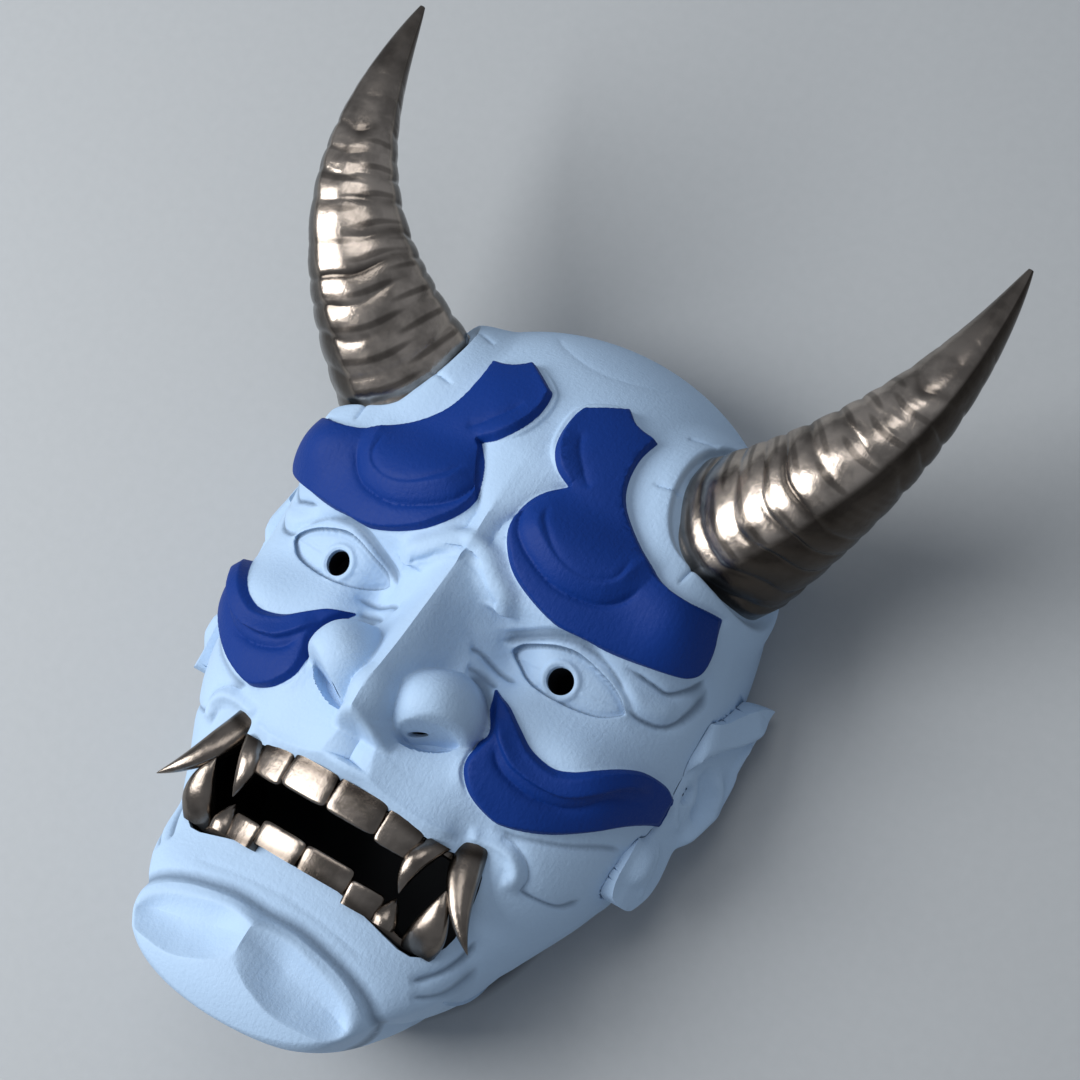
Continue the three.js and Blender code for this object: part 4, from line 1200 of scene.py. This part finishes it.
@dataclass
class Teeth:
    """One row of bronze teeth on its strip of gum."""

    row: Row

    def front(self, x: np.ndarray) -> np.ndarray:
        """Front of the row as a bow across the mouth."""
        return 12.5 - 0.0102 * x * x if self.row is Row.UPPER else 9.5 - 0.0105 * x * x

    def edge(self, x: np.ndarray) -> np.ndarray:
        """Edge of the lip that the row grows from."""
        knots = [(0, -51), (12, -51.5), (24, -52.5), (33, -52), (42, -49.5)] if self.row is Row.UPPER else [
            (0, -75.5), (12, -76.5), (24, -79.5), (36, -82), (43, -79)]
        return profile(knots)(np.abs(x))

    def tooth(self, root: Sequence[float], tip: Sequence[float], width: float, thick: float,
              shares: Points, bend: Sequence[float] = (0, 0, 0), square: float = 0.7,
              turned: float = 0.0) -> tuple[np.ndarray, list]:
        """Rounded body along a line from root to tip.

        Args:
            root: Middle of the root.
            tip: Middle of the tip.
            width: Width across the row.
            thick: Thickness through the row.
            shares: Pairs of place along the line and share of the full section.
            bend: Sideways bow at half length.
            square: Exponent of the section: 1 is round, less is squarer.
            turned: Slope of the row at the tooth, which its width follows.

        Returns:
            Points and faces.
        """
        root, tip, bend = (np.array(v, float) for v in (root, tip, bend))
        sides, steps = 32, 40
        yaw = math.atan(turned)
        sections = profile(shares)
        places = np.linspace(shares[0][0], shares[-1][0], steps)
        turn = np.linspace(0, 2 * np.pi, sides, endpoint=False)
        c = np.sign(np.cos(turn)) * np.abs(np.cos(turn)) ** square
        s = np.sign(np.sin(turn)) * np.abs(np.sin(turn)) ** square
        rows = []
        for along, share in zip(places, sections(places)):
            centre = root + (tip - root) * along + bend * 4 * along * (1 - along)
            wide, deep = c * width / 2 * share, s * thick / 2 * share * (1 - 0.2 * c * c)
            ring_x = wide * math.cos(yaw) - deep * math.sin(yaw)
            ring_z = wide * math.sin(yaw) + deep * math.cos(yaw)
            rows.append(centre + np.column_stack([ring_x, 0 * c, ring_z]))
        return np.vstack(rows), tube(steps, sides, tip[1] > root[1])

    def bodies(self) -> list[tuple[np.ndarray, list]]:
        """All teeth of one half of the row."""
        side = self.row.value
        block = [(-0.35, 0.95), (0.1, 0.98), (0.6, 1), (0.82, 0.98), (0.94, 0.9), (1.0, 0.72)]
        pointed = [(-0.18, 0.95), (0.15, 1), (0.5, 0.76), (0.8, 0.4), (0.95, 0.14), (1.0, 0.03)]
        found = []
        layout = [(7.4, 15.2), (20.0, 11.0)] if self.row is Row.UPPER else [(7.2, 14.8), (18.9, 9.6)]
        for x, wide in layout:
            root = np.array([x, float(self.edge(x)) - side * 1.4, self.front(x) - 2.4])
            tall = 7.0 if side > 0 else 5.3
            lean = (self.front(x + 1) - self.front(x - 1)) / 2
            span = wide / math.cos(math.atan(lean))
            tip = root - (0, side * tall, 0)
            found.append(self.tooth(root, tip, span, 5.4, block, square=0.29, turned=lean))
        if self.row is Row.UPPER:
            root = np.array([28.5, -55, 4.0])
            found.append(self.tooth(root, root + (-1.5, -14, 0.5), 7, 6, pointed, (-1, 0, 1.5)))
            root = np.array([37.5, -53, -1.5])
            way = np.array([12.5, -19.8, 3.5])
            tip = root + way / np.linalg.norm(way) * 25
            found.append(self.tooth(root, tip, 9.2, 7.4, pointed, (-1.5, -1.5, 1.5)))
        else:
            root = np.array([26.3, -77.5, 1.5])
            found.append(self.tooth(root, root + (0, 7.1, 0), 7, 6, pointed))
            root = np.array([36.5, -78, -4.0])
            way = np.array([1, 16, 7.0])
            tip = root + way / np.linalg.norm(way) * 17
            found.append(self.tooth(root, tip, 10.5, 8, pointed, (1, 0, 1)))
        return found

    def gum(self) -> tuple[np.ndarray, list]:
        """Strip behind the lip that the teeth stand on."""
        side = self.row.value
        x = np.linspace(-42, 42, 85)
        top = self.edge(x) - side * 0.1
        bottom = top - side * (3.2 - 0.4 * np.cos(x * 0.62))
        near = self.front(x) - 1.5
        far = near - 6
        rings = [
            (top, near - 0.4), (top - side * 0.8, near), (bottom + side * 0.6, near), (bottom, near - 0.8),
            (bottom, far), (top, far),
        ]
        points = np.vstack([np.column_stack([x, y, z]) for y, z in rings])
        count, total = len(x), len(rings)
        faces = []
        for r in range(total):
            nxt = (r + 1) % total
            for k in range(count - 1):
                faces.append((r * count + k, r * count + k + 1, nxt * count + k + 1, nxt * count + k))
        faces += [tuple(r * count for r in range(total)),
                  tuple(r * count + count - 1 for r in reversed(range(total)))]
        if side > 0:
            faces = [f[::-1] for f in faces]
        return points, faces

    def build(self, finishes: Finishes) -> bpy.types.Object:
        """Make the row and dress it.

        Args:
            finishes: The materials of the mask.

        Returns:
            The finished piece.
        """
        parts = []
        for points, faces in self.bodies():
            parts.append((points, faces))
            parts.append((points * (-1, 1, 1), [f[::-1] for f in faces]))
        parts.append(self.gum())
        points, faces, start = [], [], 0
        for part, cells in parts:
            points.append(part)
            faces += [tuple(v + start for v in f) for f in cells]
            start += len(part)
        name = self.row.name.lower()
        piece = build_mesh(f"bronze_teeth_{name}", np.vstack(points), faces)
        piece.data.set_sharp_from_angle(angle=math.radians(45))
        places = read_points(piece.data)
        away = np.abs(places[:, 1] - self.edge(places[:, 0]))
        # Painted shade and light: the teeth darken towards their roots by the lip and lighten towards the
        # front.
        root_shade, front_light = ease((3 - away) / 3), ease((places[:, 2] + 2) / 12)
        write_field(piece.data, "crease", 0.6 + 0.35 * root_shade - 0.12 * front_light)
        dress(piece, finishes.bronze, f"{name}_teeth")
        return piece


@dataclass
class Studio:
    """Floor, lights and camera."""

    eye: tuple[float, float, float] = (0.2168, -0.0620, 0.6564)
    turn: float = 19.0
    dip: float = -7.0
    roll: float = 29.5
    lens: float = 78.6
    floor_half: float = 4.0
    aim: tuple[float, float, float] = (0.0, 0.0, 0.05)

    def axes(self) -> tuple[Vector, Vector, Vector]:
        """Right, up and backward directions of the camera."""
        psi, theta, rho = (math.radians(v) for v in (self.turn, self.dip, self.roll))
        back = Vector((math.sin(psi) * math.cos(theta), -math.cos(psi) * math.cos(theta), math.sin(theta)))
        right = Vector((math.cos(psi), math.sin(psi), 0))
        up = back.cross(right)
        if up.z < 0:
            up = -up
        turned = (right * math.cos(rho) + up * math.sin(rho), up * math.cos(rho) - right * math.sin(rho))
        return tuple(Vector((v.x, v.z, -v.y)) for v in (*turned, back))

    def build(self) -> None:
        """Set up the camera, the floor and the lights."""
        axes = self.axes()
        self._camera(axes)
        self._floor()
        self._lights(axes)

    def _camera(self, axes: tuple[Vector, Vector, Vector]) -> None:
        """Camera at the photograph's angle."""
        camera = bpy.data.cameras.new("camera")
        camera.lens = self.lens
        camera.sensor_width = 36
        camera.clip_start = 0.01
        shot = add_object("camera", camera)
        turn = Matrix(axes).transposed().to_4x4()
        shot.matrix_world = Matrix.Translation(Vector(self.eye)) @ turn
        bpy.context.scene.camera = shot

    def _floor(self) -> None:
        """Pale paper floor, with a dark painted shadow only under the hollow of the mask."""
        mesh = bpy.data.meshes.new("floor")
        size = self.floor_half
        corners = [(-size, -size, 0), (size, -size, 0), (size, size, 0), (-size, size, 0)]
        mesh.from_pydata(corners, [], [(0, 1, 2, 3)])
        floor = add_object("floor", mesh)
        material = bpy.data.materials.new("floor_paper")
        material.use_nodes = True
        bench = NodeBench(material.node_tree)
        shader = material.node_tree.nodes["Principled BSDF"]
        place = bench.add("ShaderNodeTexCoord").outputs["Object"]
        # Painted shadow: a dark patch on the floor under the hollow of the mask, so the openings look black.
        apart = bench.add("ShaderNodeSeparateXYZ", in_Vector=place)
        across = bench.math("DIVIDE", bench.math("ABSOLUTE", apart.outputs["X"]), 0.058)
        along = bench.math("ABSOLUTE", bench.math("ADD", apart.outputs["Y"], 0.027))
        along = bench.math("DIVIDE", along, 0.096)
        reach = bench.math("ADD", bench.math("POWER", across, 2.6), bench.math("POWER", along, 2.6))
        painted_shadow = bench.math("MULTIPLY", bench.math("SUBTRACT", 1.0, reach), 6.0, clamp=True)
        paper = bench.add("ShaderNodeTexNoise", in_Vector=place, in_Scale=300.0, in_Detail=4.0)
        pale = bench.mix(paper.outputs["Fac"], (0.385, 0.405, 0.42), (0.415, 0.435, 0.45))
        bench.join(bench.mix(painted_shadow, pale, PAINTED_SHADE.colour), shader.inputs["Base Color"])
        shader.inputs["Roughness"].default_value = 0.9
        mesh.materials.append(material)

    def _lights(self, axes: tuple[Vector, Vector, Vector]) -> None:
        """Pale room and two soft lamps, placed from the camera's directions."""
        right, up, back = axes
        world = bpy.data.worlds.new("room")
        world.use_nodes = True
        sky = world.node_tree.nodes["Background"]
        sky.inputs["Color"].default_value = (0.80, 0.86, 0.95, 1)
        sky.inputs["Strength"].default_value = 0.33
        bpy.context.scene.world = world
        bpy.context.scene.view_settings.view_transform = "Standard"
        lights = (
            ("key", -right * 0.82 + up * 0.20 + back * 0.53, 0.88, 0.58, 8.4),
            ("front", -right * 0.10 + up * 0.55 + back * 0.85, 1.3, 0.6, 2.4),
        )
        for name, way, distance, width, power in lights:
            lamp = bpy.data.lights.new(name, "AREA")
            lamp.size = width
            lamp.energy = power
            holder = add_object(name, lamp)
            holder.location = Vector(self.aim) + way.normalized() * distance
            holder.rotation_euler = way.to_track_quat("Z", "Y").to_euler()


def main() -> None:
    """Build the studio and the five pieces."""
    logging.basicConfig(level=logging.INFO, format="%(name)s: %(message)s")
    Studio().build()
    finishes = Finishes()
    Casting().build(finishes)
    for side in (1, -1):
        Horn(side).build(finishes)
    for row in Row:
        Teeth(row).build(finishes)


if __name__ == "__main__":
    main()
